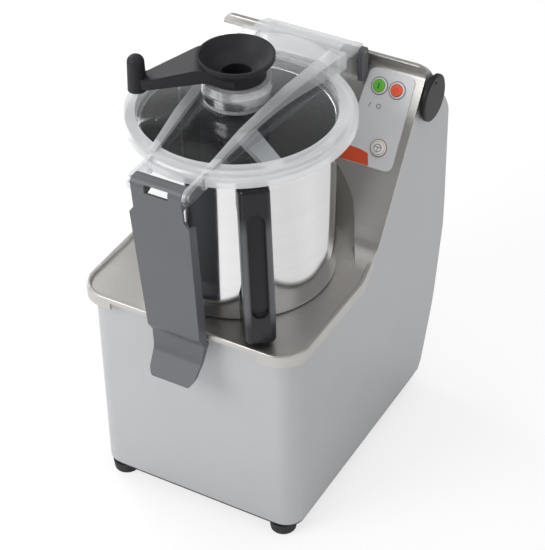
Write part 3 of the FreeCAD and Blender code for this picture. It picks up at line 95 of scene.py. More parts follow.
# Middles of the buttons and of the marks under them on the sloping face, in millimetres: across, and up the slope
START_AT = (73.5, 174.5)
STOP_AT = (93.8, 174.5)
PULSE_AT = (90.8, 112.5)
ON_MARK_AT = (68.4, 153.4)
OFF_MARK_AT = (78.4, 153.8)

# The printed ring round each button, in millimetres, and the stripe's corners: across, up the slope, and radius
SURROUND_RADIUS = 9.0
SURROUND_THICK = 0.55
STRIPE = ((51.6, 91.6, 0.0), (85.0, 91.6, 1.0), (80.8, 104.4, 3.0), (70.0, 106.6, 30.0), (51.6, 107.2, 0.0))

# Darker flecks in the powder coat
FLECK = (0.55, 0.55, 0.56, 1.0)

# The handle: its sideways direction, its edges' rounding, and its finger scoop's half width, foot and top, which
# bound the painted sheen beside the scoop
HANDLE_ASIDE = (0.7934, 0.6088, 0.0)
HANDLE_EDGE = 4.0 * MM
SCOOP_HALF_WIDTH = 8.5 * MM
SCOOP_LOW = 0.287
SCOOP_HIGH = 0.394

# The rounding of the crank's edges
CRANK_EDGE = 1.2 * MM

# The clear lid: how milky its ring, its ribs and its steep sides are, the domed window's edge and slope, the height
# at the axis from which the ribs stand out of it, the ring's outer edge, and the refractive index
RING_MILK = 0.40
RIB_MILK = 0.26
STEEP_MILK = 0.6
WINDOW_RADIUS = 99.5 * MM
WINDOW_SLOPE = 0.1586
RIB_FOOT = RIM_TOP + 27.4 * MM
RING_RADIUS = RIM_RADIUS + 7.0 * MM
LID_INDEX = 1.5

# Edges sharper than these are rounded, or keep a break in the shading; faces and points closer than these are one
EDGE_ANGLE = math.radians(35.0)
SMOOTH_ANGLE = math.radians(38.0)
FLAT_ANGLE = math.radians(0.15)
SAME_POINT = 0.002 * MM
SEAM = 0.01 * MM


def linear(code):
    """Linear colour of an sRGB hex code, with full alpha."""
    parts = [int(code[i:i + 2], 16) / 255 for i in (1, 3, 5)]
    return tuple(c / 12.92 if c <= 0.04045 else ((c + 0.055) / 1.055) ** 2.4 for c in parts) + (1.0,)


def colour(code, title, words):
    """Colour property with a hex default."""
    return bpy.props.FloatVectorProperty(name=title, description=words, subtype="COLOR", size=4,
                                         min=0.0, max=1.0, default=linear(code))


def length(size_mm, title, words):
    """Length property with its default in millimetres."""
    return bpy.props.FloatProperty(name=title, description=words, unit="LENGTH", default=size_mm * MM,
                                   precision=5)


class CutterColours(bpy.types.PropertyGroup):
    """Colours that a maker would offer."""
    body: colour("#B2B3B5", "Body", "Powder coat of the housing")
    tray: colour("#BDBBB7", "Tray", "Brushed steel of the tray and tower")
    bowl: colour("#D9D9DA", "Bowl", "Polished steel of the bowl")
    # Painted shade: the bowl's inside is darker than its outside, to stand in for the shade inside the bowl
    bowl_inside_shade: colour("#77777A", "Bowl inside", "Brushed steel of the bowl's inside")
    lever: colour("#5A5B60", "Lever", "Moulding of the latch lever")
    handle: colour("#1E1E22", "Handle", "Moulding of the bowl's handle")
    # Painted sheen: the paler bands either side of the handle's scoop stand in for reflections on its rounded edges
    handle_flank_sheen: colour("#55565A", "Handle flanks", "Paler grip on both sides of the handle's scoop")
    crank: colour("#1E1E22", "Crank", "Moulding of the crank and funnel")
    film: colour("#D2D3D5", "Panel film", "Overlay of the control panel")
    start: colour("#63B838", "Start", "Start button")
    stop: colour("#E0572F", "Stop", "Stop button")
    pulse: colour("#ECEAE6", "Pulse", "Pulse button")
    knob: colour("#161618", "Knob", "Speed knob")
    plastic_light: colour("#B9BABC", "Light moulding", "Blade hub and scraper")
    plastic_dark: colour("#2E2F31", "Dark moulding", "Dark scraper arm")
    rubber: colour("#26262A", "Rubber", "Feet")
    clear: colour("#F6F7F8", "Lid", "Clear lid")
    floor: colour("#F2F2F2", "Floor", "Pale floor")


class CutterSizes(bpy.types.PropertyGroup):
    """Small sizes of the finish that a maker would change."""
    sheet_edge: length(0.5, "Sheet edge", "Rounding of the sheet metal's edges")
    mould_edge: length(0.9, "Moulded edge", "Rounding of the mouldings' edges")
    small_edge: length(0.25, "Small edge", "Rounding of screws and small parts")
    steps: bpy.props.IntProperty(name="Steps", description="Facets round a turned piece", default=192, min=24)


def colours():
    """Colours set in the scene."""
    return bpy.context.scene.cutter_colours


def sizes():
    """Small sizes set in the scene."""
    return bpy.context.scene.cutter_sizes


# Shading nodes

def fill(tree, socket, value):
    """Links a socket to another one, or sets it to a plain value."""
    if isinstance(value, bpy.types.NodeSocket):
        tree.links.new(value, socket)
    else:
        socket.default_value = value


def add(tree, kind, **settings):
    """Adds a node; a setting is an input by name, a link where its value is a socket, or an attribute."""
    node = tree.nodes.new(kind)
    for key, value in settings.items():
        name = key.replace("_", " ")
        if hasattr(node, key) and key not in node.inputs:
            setattr(node, key, value)
            continue
        fill(tree, node.inputs[name] if name in node.inputs else node.inputs[key], value)
    return node


def per_mm(size):
    """Texture scale at which one feature is that many millimetres wide."""
    return 1.0 / (size * MM)


def blank_material(name):
    """New node material with only its output."""
    material = bpy.data.materials.new(name)
    material.use_nodes = True
    material.node_tree.nodes.clear()
    return material, material.node_tree


def close_material(tree, surface):
    """Joins the finished shader to the material's output."""
    add(tree, "ShaderNodeOutputMaterial", Surface=surface)


def place(tree, stretch=(1.0, 1.0, 1.0)):
    """Object coordinates, stretched."""
    coordinates = add(tree, "ShaderNodeTexCoord")
    mapping = add(tree, "ShaderNodeMapping", Vector=coordinates.outputs["Object"], Scale=stretch)
    return mapping.outputs[0]


def grain(tree, size, stretch=(1.0, 1.0, 1.0), detail=3.0):
    """Noise whose features are size millimetres wide where the stretch is 1."""
    return add(tree, "ShaderNodeTexNoise", Vector=place(tree, stretch), Scale=per_mm(size), Detail=detail)


def between(tree, factor, low, high):
    """Maps a noise's middle range to low .. high."""
    return add(tree, "ShaderNodeMapRange", Value=factor, **{"From Min": 0.3, "From Max": 0.7,
                                                           "To Min": low, "To Max": high}).outputs[0]


def blended(tree, factor, first, second, blend="MIX"):
    """Two colours mixed by the factor."""
    node = add(tree, "ShaderNodeMix", data_type="RGBA", blend_type=blend)
    for socket, value in zip((node.inputs[0], node.inputs[6], node.inputs[7]), (factor, first, second)):
        fill(tree, socket, value)
    return node.outputs[2]


def layered(tree, factor, first, second):
    """Two shaders mixed by the factor."""
    node = add(tree, "ShaderNodeMixShader", Fac=factor)
    tree.links.new(first, node.inputs[1])
    tree.links.new(second, node.inputs[2])
    return node.outputs[0]


def tinted(tree, factor, base, spread):
    """The base colour, a little darker and lighter with the factor."""
    dark = tuple(c * (1 - spread) for c in base[:3]) + (1.0,)
    light = tuple(min(c * (1 + spread), 1.0) for c in base[:3]) + (1.0,)
    return blended(tree, factor, dark, light)


def bump(tree, height, depth_mm):
    """Bump of that depth."""
    return add(tree, "ShaderNodeBump", Height=height, Strength=1.0, Distance=depth_mm * MM).outputs[0]


def worked_out(tree, operation, *values):
    """Result of a sum, product or other operation on values or plain numbers."""
    node = add(tree, "ShaderNodeMath", operation=operation)
    for socket, value in zip(node.inputs, values):
        fill(tree, socket, value)
    return node.outputs[0]


def product(tree, first, second):
    """Two values or plain numbers multiplied."""
    return worked_out(tree, "MULTIPLY", first, second)


def total(tree, first, second):
    """Two values or plain numbers added."""
    return worked_out(tree, "ADD", first, second)


def ramp(tree, value, start, end, low=0.0, high=1.0):
    """Value mapped from start .. end to low .. high, and held there."""
    return add(tree, "ShaderNodeMapRange", Value=value, **{"From Min": start, "From Max": end,
                                                           "To Min": low, "To Max": high}).outputs[0]


def from_axis(tree):
    """Distance from the bowl's upright axis, and height."""
    coordinates = add(tree, "ShaderNodeTexCoord").outputs["Object"]
    centred = add(tree, "ShaderNodeMapping", Vector=coordinates, Location=(-AXIS[0], -AXIS[1], 0.0),
                  Scale=(1.0, 1.0, 0.0))
    distance = add(tree, "ShaderNodeVectorMath", operation="LENGTH")
    tree.links.new(centred.outputs[0], distance.inputs[0])
    return distance.outputs["Value"], add(tree, "ShaderNodeSeparateXYZ", Vector=coordinates).outputs["Z"]


def powder_coat(name, base):
    """Powder coat on steel: a silvery grey with a fine orange peel and a soft, even sheen."""
    material, tree = blank_material(name)
    peel = grain(tree, 1.6, detail=2.0)
    cloud = grain(tree, 60.0, detail=2.0)
    fleck = grain(tree, 0.9, detail=4.0)
    shade = tinted(tree, cloud.outputs[0], base, 0.03)
    flecked = blended(tree, between(tree, fleck.outputs[0], 0.0, 0.09), shade, FLECK, "MULTIPLY")
    shader = add(tree, "ShaderNodeBsdfPrincipled", Base_Color=flecked, Metallic=0.35,
                 Roughness=between(tree, peel.outputs[0], 0.40, 0.52), Normal=bump(tree, peel.outputs[0], 0.02))
    close_material(tree, shader.outputs[0])
    return material


def brushed_steel(name, base, along, rough, depth=0.006, inside=None):
    """Brushed stainless steel: fine scratches along the given axes; inside the bowl a darker tone, painted shade,
    and another roughness.
    """
    material, tree = blank_material(name)
    fine = tuple(0.02 if i in along else 1.0 for i in range(3))
    scratch = grain(tree, 0.5, fine, 4.0)
    streak = grain(tree, 6.0, fine, 2.0)
    cloud = grain(tree, 45.0, detail=2.0)
    shade = tinted(tree, streak.outputs[0], base, 0.05)
    fineness = between(tree, scratch.outputs[0], -0.05, 0.08)
    cloudy = total(tree, fineness, between(tree, cloud.outputs[0], -0.03, 0.03))
    level = rough
    if inside:
        radius, height = from_axis(tree)
        within_wall = ramp(tree, radius, INNER_WALL, INNER_WALL + 0.4 * MM, 1.0, 0.0)
        under_rim = ramp(tree, height, RIM_TOP - 1.2 * MM, RIM_TOP - 0.6 * MM, 1.0, 0.0)
        within = product(tree, within_wall, under_rim)
        # Painted shade: the wall inside the bowl gets a darker tone, turning in from the floor's tone up the wall
        painted_wall_shade = tinted(tree, streak.outputs[0], inside, 0.14)
        floor_tone = tinted(tree, cloud.outputs[0], base, 0.20)
        up_wall = ramp(tree, height, FLOOR_TONE_TOP, WALL_SHADE_LOW)
        shade = blended(tree, within, shade, blended(tree, up_wall, floor_tone, painted_wall_shade))
        level = ramp(tree, within, 0.0, 1.0, rough, INSIDE_ROUGH)
    shader = add(tree, "ShaderNodeBsdfPrincipled", Base_Color=shade, Metallic=1.0,
                 Roughness=total(tree, cloudy, level), Normal=bump(tree, scratch.outputs[0], depth))
    close_material(tree, shader.outputs[0])
    return material


def moulded(name, base, rough, texture_mm=0.7, depth=0.015, flank_sheen=None):
    """Injection-moulded ABS with a fine spark-eroded texture; a handle also gets paler flanks, a painted sheen."""
    material, tree = blank_material(name)
    pits = grain(tree, texture_mm, detail=3.0)
    flow = grain(tree, 35.0, detail=2.0)
    tone = tinted(tree, flow.outputs[0], base, 0.06)
    # Painted sheen: on a handle, paler bands beside the scoop stand in for reflections on its edges
    if flank_sheen:
        tone = blended(tree, sheen_beside_scoop(tree), tone, tinted(tree, flow.outputs[0], flank_sheen, 0.06))
    shader = add(tree, "ShaderNodeBsdfPrincipled", Base_Color=tone, IOR=1.40,
                 Roughness=between(tree, pits.outputs[0], rough - 0.05, rough + 0.06),
                 Normal=bump(tree, pits.outputs[0], depth))
    close_material(tree, shader.outputs[0])
    return material


def sheen_beside_scoop(tree):
    """Where the handle is painted paler as a sheen: on both sides of its finger scoop, between the scoop's ends."""
    coordinates = add(tree, "ShaderNodeTexCoord").outputs["Object"]
    centred = add(tree, "ShaderNodeMapping", Vector=coordinates, Location=(-AXIS[0], -AXIS[1], 0.0))
    aside = add(tree, "ShaderNodeVectorMath", operation="DOT_PRODUCT")
    tree.links.new(centred.outputs[0], aside.inputs[0])
    aside.inputs[1].default_value = HANDLE_ASIDE
    offset = worked_out(tree, "ABSOLUTE", aside.outputs["Value"])
    height = add(tree, "ShaderNodeSeparateXYZ", Vector=coordinates).outputs["Z"]
    beside = ramp(tree, offset, SCOOP_HALF_WIDTH, SCOOP_HALF_WIDTH + 2.0 * MM)
    above_end = ramp(tree, height, SCOOP_LOW - 6.0 * MM, SCOOP_LOW + 12.0 * MM)
    below_start = ramp(tree, height, SCOOP_HIGH - 12.0 * MM, SCOOP_HIGH + 4.0 * MM, 1.0, 0.0)
    return product(tree, product(tree, beside, above_end), below_start)


def soft_rubber(name, base):
    """Nitrile rubber: matt, with a faint bloom and a grained skin."""
    material, tree = blank_material(name)
    skin = grain(tree, 1.2, detail=4.0)
    bloom = grain(tree, 18.0, detail=2.0)
    shader = add(tree, "ShaderNodeBsdfPrincipled", Base_Color=tinted(tree, bloom.outputs[0], base, 0.15), IOR=1.52,
                 Roughness=between(tree, skin.outputs[0], 0.68, 0.85), Normal=bump(tree, skin.outputs[0], 0.03))
    close_material(tree, shader.outputs[0])
    return material


def milky_share(tree):
    """How milky the lid is: some in its ring, ribs and hood, none in the domed window and the ears."""
    radius, height = from_axis(tree)
    rising = total(tree, height, product(tree, radius, WINDOW_SLOPE))
    over_window = ramp(tree, rising, RIB_FOOT, RIB_FOOT + 0.7 * MM)
    from_window = ramp(tree, radius, WINDOW_RADIUS - 1.0 * MM, WINDOW_RADIUS)
    to_edge = ramp(tree, radius, RING_RADIUS, RING_RADIUS + 1.0 * MM, 1.0, 0.0)
    over_rim = product(tree, from_window, to_edge)
    ribs = product(tree, over_window, worked_out(tree, "SUBTRACT", 1.0, over_rim))
    return total(tree, product(tree, over_rim, RING_MILK), product(tree, ribs, RIB_MILK))


def clear_moulding(name, base):
    """Moulded copolyester: see-through face on, pale at grazing angles and milky where it is thick."""
    material, tree = blank_material(name)
    flow = grain(tree, 25.0, detail=2.0)
    ripple = bump(tree, flow.outputs[0], 0.02)
    through = add(tree, "ShaderNodeBsdfTransparent", Color=base)
    gloss = add(tree, "ShaderNodeBsdfGlossy", Roughness=0.05, Normal=ripple)
    # Light goes through unbent, so both sides of a wall mirror as a side seen from outside does
    behind = add(tree, "ShaderNodeNewGeometry").outputs["Backfacing"]
    index = ramp(tree, behind, 0.0, 1.0, LID_INDEX, 1.0 / LID_INDEX)
    mirrored = add(tree, "ShaderNodeFresnel", IOR=index).outputs[0]
    bare = layered(tree, mirrored, through.outputs[0], gloss.outputs[0])
    milk = add(tree, "ShaderNodeBsdfPrincipled", Base_Color=tinted(tree, flow.outputs[0], base, 0.02),
               Roughness=0.14, IOR=LID_INDEX, Normal=ripple)
    facing = add(tree, "ShaderNodeLayerWeight", Blend=0.5).outputs["Facing"]
    steep = product(tree, worked_out(tree, "POWER", facing, 4.0), STEEP_MILK)
    share = total(tree, steep, milky_share(tree))
    close_material(tree, layered(tree, share, bare, milk.outputs[0]))
    return material


def plated(name, base, rough):
    """Ground and plated steel of screws, pins and blades."""
    material, tree = blank_material(name)
    marks = grain(tree, 0.8, (1.0, 1.0, 0.2), 3.0)
    shader = add(tree, "ShaderNodeBsdfPrincipled", Base_Color=tinted(tree, marks.outputs[0], base, 0.05),
                 Metallic=1.0, Roughness=between(tree, marks.outputs[0], rough - 0.05, rough + 0.08),
                 Normal=bump(tree, marks.outputs[0], 0.004))
    close_material(tree, shader.outputs[0])
    return material


FINISHES = {}


def finishes():
    """All materials of the machine, made once."""
    if FINISHES:
        return FINISHES
    c = colours()
    FINISHES.update({
        "body_paint": powder_coat("powder_coated_steel", c.body),
        "tray_metal": brushed_steel("brushed_stainless_tray", c.tray, (0,), 0.40),
        "bowl_metal": brushed_steel("polished_stainless_bowl", c.bowl, (0, 1), 0.09, 0.0015, c.bowl_inside_shade),
        "blade_metal": plated("ground_blade_steel", linear("#9FA0A2"), 0.30),
        "bolt_steel": plated("zinc_plated_steel", linear("#A9AAAC"), 0.32),
        "base_black": powder_coat("black_powder_coat", linear("#2A2A2C")),
        "foot_rubber": soft_rubber("nitrile_rubber_foot", c.rubber),
        "grip_charcoal": moulded("abs_charcoal_handle", c.handle, 0.30, flank_sheen=c.handle_flank_sheen),
        "crank_black": moulded("abs_black_crank", c.crank, 0.60),
        "lever_grey": moulded("abs_grey_lever", c.lever, 0.42),
        "lid_clear": clear_moulding("clear_copolyester_lid", c.clear),
        "collar_silver": brushed_steel("silvered_collar", linear("#CFCFD1"), (0, 1), 0.24, 0.001),
        "seal_grey": soft_rubber("silicone_seal", linear("#D6D7D8")),
        "scraper_dark": moulded("abs_dark_scraper", c.plastic_dark, 0.34),
        "scraper_light": moulded("abs_light_hub", c.plastic_light, 0.38),
        "wiper_soft": soft_rubber("silicone_wiper", linear("#A6A6A4")),
        "panel_film": moulded("polyester_overlay_film", c.film, 0.40, 0.5, 0.008),
        "button_green": moulded("green_button_cap", c.start, 0.28, 0.5, 0.004),
        "button_red": moulded("red_button_cap", c.stop, 0.28, 0.5, 0.004),
        "pulse_white": moulded("white_button_cap", c.pulse, 0.30, 0.5, 0.004),
        "bezel_grey": moulded("pale_button_ring", linear("#D8D9D6"), 0.30, 0.5, 0.004),
        "mark_dark": moulded("screen_print_grey", linear("#6E6F72"), 0.50, 0.5, 0.002),
        "mark_brown": moulded("screen_print_brown", linear("#9A6A5A"), 0.50, 0.5, 0.002),
        "mark_start": moulded("button_print_dark_green", linear("#2F6A2A"), 0.40, 0.5, 0.002),
        "mark_stop": moulded("button_print_pale_red", linear("#E8503E"), 0.40, 0.5, 0.002),
        "mark_orange": moulded("screen_print_orange", linear("#D2502F"), 0.45, 0.5, 0.002),
        "knob_grey": moulded("abs_knob", c.knob, 0.46),
        "gland_black": moulded("nylon_gland", linear("#1E1E20"), 0.50),
        "motor_iron": powder_coat("motor_laminations", linear("#4A4A4C")),
        "motor_alloy": plated("die_cast_alloy", linear("#AEB0B2"), 0.45),
        "fan_plastic": moulded("nylon_fan", linear("#222224"), 0.50),
        "board_green": moulded("circuit_board_lacquer", linear("#1F5B36"), 0.35),
    })
    return FINISHES


# Modelling

def pick_only(obj):
    """Deselects everything and makes obj the one active object."""
    bpy.ops.object.select_all(action="DESELECT")
    obj.select_set(True)
    bpy.context.view_layer.objects.active = obj


def apply_modifiers(obj):
    """Applies all modifiers of obj in order."""
    pick_only(obj)
    for modifier in list(obj.modifiers):
        bpy.ops.object.modifier_apply(modifier=modifier.name)


def rounded_edges(obj, width, segments=2):
    """Rounds the sharp edges."""
    modifier = obj.modifiers.new("edges", "BEVEL")
    modifier.width = width
    modifier.segments = segments
    modifier.limit_method = "ANGLE"
    modifier.angle_limit = EDGE_ANGLE
    modifier.miter_outer = "MITER_ARC"
    apply_modifiers(obj)


def smooth(obj):
    """Smooth shading, broken at sharp edges, with flat faces kept flat."""
    pick_only(obj)
    bpy.ops.object.shade_smooth_by_angle(angle=SMOOTH_ANGLE)
    modifier = obj.modifiers.new("normals", "WEIGHTED_NORMAL")
    modifier.keep_sharp = True
    modifier.weight = 100
    apply_modifiers(obj)


def settle(obj, name, body, slot, replaces=(), finish=None):
    """Names a finished piece, gives it its material and joins it to its body."""
    obj.name = name
    obj.data.name = name
    obj.data.materials.clear()
    obj.data.materials.append(finishes()[finish or slot])
    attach(obj, body)
    if replaces:
        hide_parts(*replaces)
    return obj


def merged_copy(node):
    """Copy of a construction node with its triangles merged into clean faces."""
    mesh = frame["nodes"][node].data.copy()
    obj = bpy.data.objects.new(node + "_shape", mesh)
    bpy.context.scene.collection.objects.link(obj)
    pick_only(obj)
    bpy.ops.object.mode_set(mode="EDIT")
    bpy.ops.mesh.select_all(action="SELECT")
    bpy.ops.mesh.customdata_custom_splitnormals_clear()
    bpy.ops.mesh.remove_doubles(threshold=SAME_POINT)
    bpy.ops.mesh.dissolve_limited(angle_limit=FLAT_ANGLE)
    bpy.ops.object.mode_set(mode="OBJECT")
    return obj


def dress(node, body, slot, edge, segments=2):
    """Finished piece with the node's own shape, its edges rounded."""
    obj = merged_copy(node)
    rounded_edges(obj, edge, segments)
    smooth(obj)
    return settle(obj, node + "_finished", body, slot, (node,))


def finish_inside(*nodes):
    """Gives construction nodes that hardly show their materials, without a new piece."""
    slots = {part["node"]: part["material_slot"] for part in frame["record"]["subparts"]}
    for node in nodes:
        obj = frame["nodes"][node]
        for slot in obj.material_slots:
            slot.material = finishes()[slots[node]]


def arc_corners(corners, steps=6):
    """Points of an outline whose corners (u, v, radius) are rounded, all in millimetres."""
    points = []
    count = len(corners)
    for i, (u, v, radius) in enumerate(corners):
        here = Vector((u, v))
        if radius <= 0:
            points.append(here)
            continue
        to_last = (Vector(corners[i - 1][:2]) - here).normalized()
        to_next = (Vector(corners[(i + 1) % count][:2]) - here).normalized()
        half = to_last.angle(to_next) / 2
        centre = here + (to_last + to_next).normalized() * (radius / math.sin(half))
        start = here + to_last * (radius / math.tan(half)) - centre
        turn = start.angle_signed(here + to_next * (radius / math.tan(half)) - centre)
        for step in range(steps + 1):
            rotation = Matrix.Rotation(-turn * step / steps, 2)
            points.append(centre + rotation @ start)
    return points


def drawn(points):
    """Line of vertices through the points, left in edit mode with everything selected."""
    bpy.ops.object.select_all(action="DESELECT")
    bpy.ops.mesh.primitive_plane_add(size=MM, location=points[0])
    obj = bpy.context.object
    bpy.ops.object.transform_apply(location=True)
    bpy.ops.object.mode_set(mode="EDIT")
    bpy.ops.mesh.select_all(action="SELECT")
    bpy.ops.mesh.merge(type="CENTER")
    for last, point in zip(points, points[1:]):
        bpy.ops.mesh.extrude_region_move(TRANSFORM_OT_translate={"value": Vector(point) - Vector(last)})
    bpy.ops.mesh.select_all(action="SELECT")
    return obj


def lathe(corners):
    """Solid turned about the bowl's axis, from its outline of (radius, height, corner radius) in millimetres."""
    points = [Vector((AXIS[0] + p.x * MM, AXIS[1], p.y * MM)) for p in arc_corners(corners)]
    obj = drawn(points + points[:1])
    bpy.ops.mesh.spin(steps=sizes().steps, angle=math.tau, center=AXIS, axis=(0.0, 0.0, 1.0))
    bpy.ops.mesh.select_all(action="SELECT")
    bpy.ops.mesh.remove_doubles(threshold=SEAM)
    bpy.ops.mesh.normals_make_consistent(inside=False)
    bpy.ops.object.mode_set(mode="OBJECT")
    return obj


def prism(points, push):
    """Solid drawn by its closed outline and extruded along push."""
    obj = drawn(points)
    bpy.ops.mesh.edge_face_add()
    bpy.ops.mesh.extrude_region_move(TRANSFORM_OT_translate={"value": Vector(push)})
    bpy.ops.mesh.select_all(action="SELECT")
    bpy.ops.mesh.normals_make_consistent(inside=False)
    bpy.ops.object.mode_set(mode="OBJECT")
    return obj


def on_slope(x, along, lift):
    """Point on the sloping face, in metres: across, up the slope and out of it, in millimetres."""
    return (SLOPE_FOOT + Vector((x, 0.0, 0.0)) + UP_SLOPE * along + OUT_OF_SLOPE * lift) * MM


def printed(name, outline, lift, body, slot, finish):
    """Print on the sloping face, from its outline of points across and up the slope."""
    obj = prism([on_slope(p.x, p.y, lift - PRINT_SINK) for p in outline], OUT_OF_SLOPE * PRINT_THICK * MM)
    return settle(obj, name, body, slot, finish=finish)


def bar(name, x, along, wide, tall, lift, body, slot, finish, lean=0.0):
    """Thin printed bar on the sloping face, leaning by so many degrees."""
    middle = Vector((x, along))
    turn = Matrix.Rotation(math.radians(lean), 2)
    outline = [middle + turn @ Vector((wide / 2 * a, tall / 2 * b))
               for a, b in ((-1, -1), (1, -1), (1, 1), (-1, 1))]
    return printed(name, outline, lift, body, slot, finish)


def ring(name, x, along, radius, thick, lift, body, slot, finish):
    """Thin printed ring on the sloping face."""
    bpy.ops.object.select_all(action="DESELECT")
    bpy.ops.mesh.primitive_torus_add(major_radius=radius * MM, minor_radius=thick * MM,
                                     major_segments=48, minor_segments=8,
                                     location=on_slope(x, along, lift), rotation=(SLOPE, 0.0, 0.0))
    obj = bpy.context.object
    bpy.ops.object.transform_apply(location=True, rotation=True, scale=True)
    smooth(obj)
    return settle(obj, name, body, slot, finish=finish)


# Pieces

class CUTTER_OT_body(bpy.types.Operator):
    """Housing, tower cover, rear cover, base, feet and their screws"""
    bl_idname = "cutter.body"
    bl_label = "Body"

    def execute(self, context):
        edge = sizes().sheet_edge
        dress("housing_shell", "root", "body_paint", edge)
        dress("rear_cover", "root", "body_paint", edge)
        dress("top_cover", "root", "tray_metal", edge)
        dress("base_plate", "root", "base_black", edge)
        dress("rubber_feet", "root", "foot_rubber", edge)
        small = sizes().small_edge
        dress("rear_cover_screws", "root", "bolt_steel", small)
        dress("foot_screws", "root", "bolt_steel", small)
        dress("cable_gland", "root", "gland_black", small)
        return {"FINISHED"}


class CUTTER_OT_bowl(bpy.types.Operator):
    """Polished bowl with its rim and hollow column"""
    bl_idname = "cutter.bowl"
    bl_label = "Bowl"

    def execute(self, context):
        low = BOWL_LOW[2] / MM
        high = BOWL_HIGH[2] / MM
        rim = RIM_RADIUS / MM
        rim_low = high - RIM_THICK
        bore = COLUMN_RADIUS - BOWL_WALL
        inner = BOWL_RADIUS - BOWL_WALL
        bottom = low + BOWL_WALL
        obj = lathe([(bore, low, 0.6), (BOWL_RADIUS, low, 4.0), (BOWL_RADIUS, rim_low, 1.6), (rim, rim_low, 1.4),
                     (rim, high, 1.4), (inner, high, 1.8), (inner, bottom, 3.0), (COLUMN_RADIUS, bottom, 2.0),
                     (COLUMN_RADIUS, COLUMN_TOP, 0.6), (bore, COLUMN_TOP, 0.6)])
        smooth(obj)
        settle(obj, "bowl", "root", "bowl_metal", ("bowl_shell",))
        dress("bowl_handle", "root", "grip_charcoal", HANDLE_EDGE, segments=5)
        dress("handle_studs", "root", "bolt_steel", sizes().small_edge)
        return {"FINISHED"}


class CUTTER_OT_lid(bpy.types.Operator):
    """Clear lid with its seal, collar, hinge pin and lugs"""
    bl_idname = "cutter.lid"
    bl_label = "Lid"

    def execute(self, context):
        small = sizes().small_edge
        dress("lid", "lid", "lid_clear", sizes().mould_edge)
        dress("lid_seal", "lid", "seal_grey", small)
        dress("lid_collar", "lid", "collar_silver", small)
        dress("lever_pins", "lid", "bolt_steel", small)
        dress("hinge_pin", "root", "bolt_steel", small)
        dress("hinge_lugs", "root", "lever_grey", sizes().mould_edge)
        return {"FINISHED"}


class CUTTER_OT_latch(bpy.types.Operator):
    """Latch lever that hangs from the lid and hooks under the tray's lip"""
    bl_idname = "cutter.latch"
    bl_label = "Latch lever"

    def execute(self, context):
        dress("latch_lever", "latch", "lever_grey", sizes().mould_edge, segments=3)
        return {"FINISHED"}


class CUTTER_OT_crank(bpy.types.Operator):
    """Crank with its funnel"""
    bl_idname = "cutter.crank"
    bl_label = "Crank"

    def execute(self, context):
        dress("crank", "crank", "crank_black", CRANK_EDGE, segments=3)
        return {"FINISHED"}


class CUTTER_OT_scraper(bpy.types.Operator):
    """Scraper hub with its two arms and wipers"""
    bl_idname = "cutter.scraper"
    bl_label = "Scraper"

    def execute(self, context):
        small = sizes().small_edge
        dress("scraper_hub", "scraper", "scraper_dark", small)
        dress("scraper_dark_arm", "scraper", "scraper_dark", sizes().mould_edge)
        dress("scraper_light_arm", "scraper", "scraper_light", sizes().mould_edge)
        dress("dark_wiper", "scraper", "wiper_soft", small)
        dress("light_wiper", "scraper", "wiper_soft", small)
        return {"FINISHED"}


class CUTTER_OT_blades(bpy.types.Operator):
    """Blade hub and the two toothed blades"""
    bl_idname = "cutter.blades"
    bl_label = "Blades"

    def execute(self, context):
        dress("blade_hub", "blades", "scraper_light", sizes().mould_edge)
        dress("lower_blade", "blades", "blade_metal", sizes().small_edge)
        dress("upper_blade", "blades", "blade_metal", sizes().small_edge)
        return {"FINISHED"}


class CUTTER_OT_controls(bpy.types.Operator):
    """Control panel overlay, button rings and caps"""
    bl_idname = "cutter.controls"
    bl_label = "Controls"

    def execute(self, context):
        small = sizes().small_edge
        dress("control_panel", "root", "panel_film", small)
        dress("button_bezels", "root", "bezel_grey", small)
        dress("start_button", "start_button", "button_green", small)
        dress("stop_button", "stop_button", "button_red", small)
        dress("pulse_button", "pulse_button", "pulse_white", small)
        self.stripe()
        self.marks()
        return {"FINISHED"}

    def stripe(self):
        """Orange stripe along the foot of the overlay."""
        printed("overlay_stripe", arc_corners(STRIPE), FILM_LIFT, "root", "panel_film", "mark_orange")

    def marks(self):
        """Plain on and off marks under the buttons and on their caps, and a crossed ring on the third."""
        bar("overlay_on_mark", *ON_MARK_AT, 0.9, 5.0, FILM_LIFT, "root", "panel_film", "mark_dark", -14.0)
        ring("overlay_off_mark", *OFF_MARK_AT, 2.3, 0.35, FILM_LIFT, "root", "panel_film", "mark_dark")
        bar("start_mark", *START_AT, 1.5, 6.4, CAP_LIFT, "start_button", "button_green", "mark_start")
        ring("stop_mark", *STOP_AT, 2.3, 0.5, CAP_LIFT, "stop_button", "button_red", "mark_stop")
        across, along = PULSE_AT
        ring("pulse_mark", across, along, 4.1, 0.4, CAP_LIFT, "pulse_button", "pulse_white", "mark_dark")
        bar("pulse_mark_bar", across, along + 0.9, 8.0, 0.8, CAP_LIFT, "pulse_button", "pulse_white", "mark_dark")
        bar("pulse_mark_stem", across, along - 1.3, 0.8, 4.0, CAP_LIFT, "pulse_button", "pulse_white", "mark_dark")
        for name, spot, finish in (("start", START_AT, "mark_dark"), ("stop", STOP_AT, "mark_dark"),
                                   ("pulse", PULSE_AT, "mark_brown")):
            ring(name + "_surround", *spot, SURROUND_RADIUS, SURROUND_THICK, FILM_LIFT, "root", "panel_film",
                 finish)


class CUTTER_OT_knob(bpy.types.Operator):
    """Speed knob on the right side"""
    bl_idname = "cutter.knob"
    bl_label = "Speed knob"

    def execute(self, context):
        dress("speed_knob", "speed_knob", "knob_grey", sizes().mould_edge)
        dress("knob_base", "root", "knob_grey", sizes().small_edge)
        return {"FINISHED"}


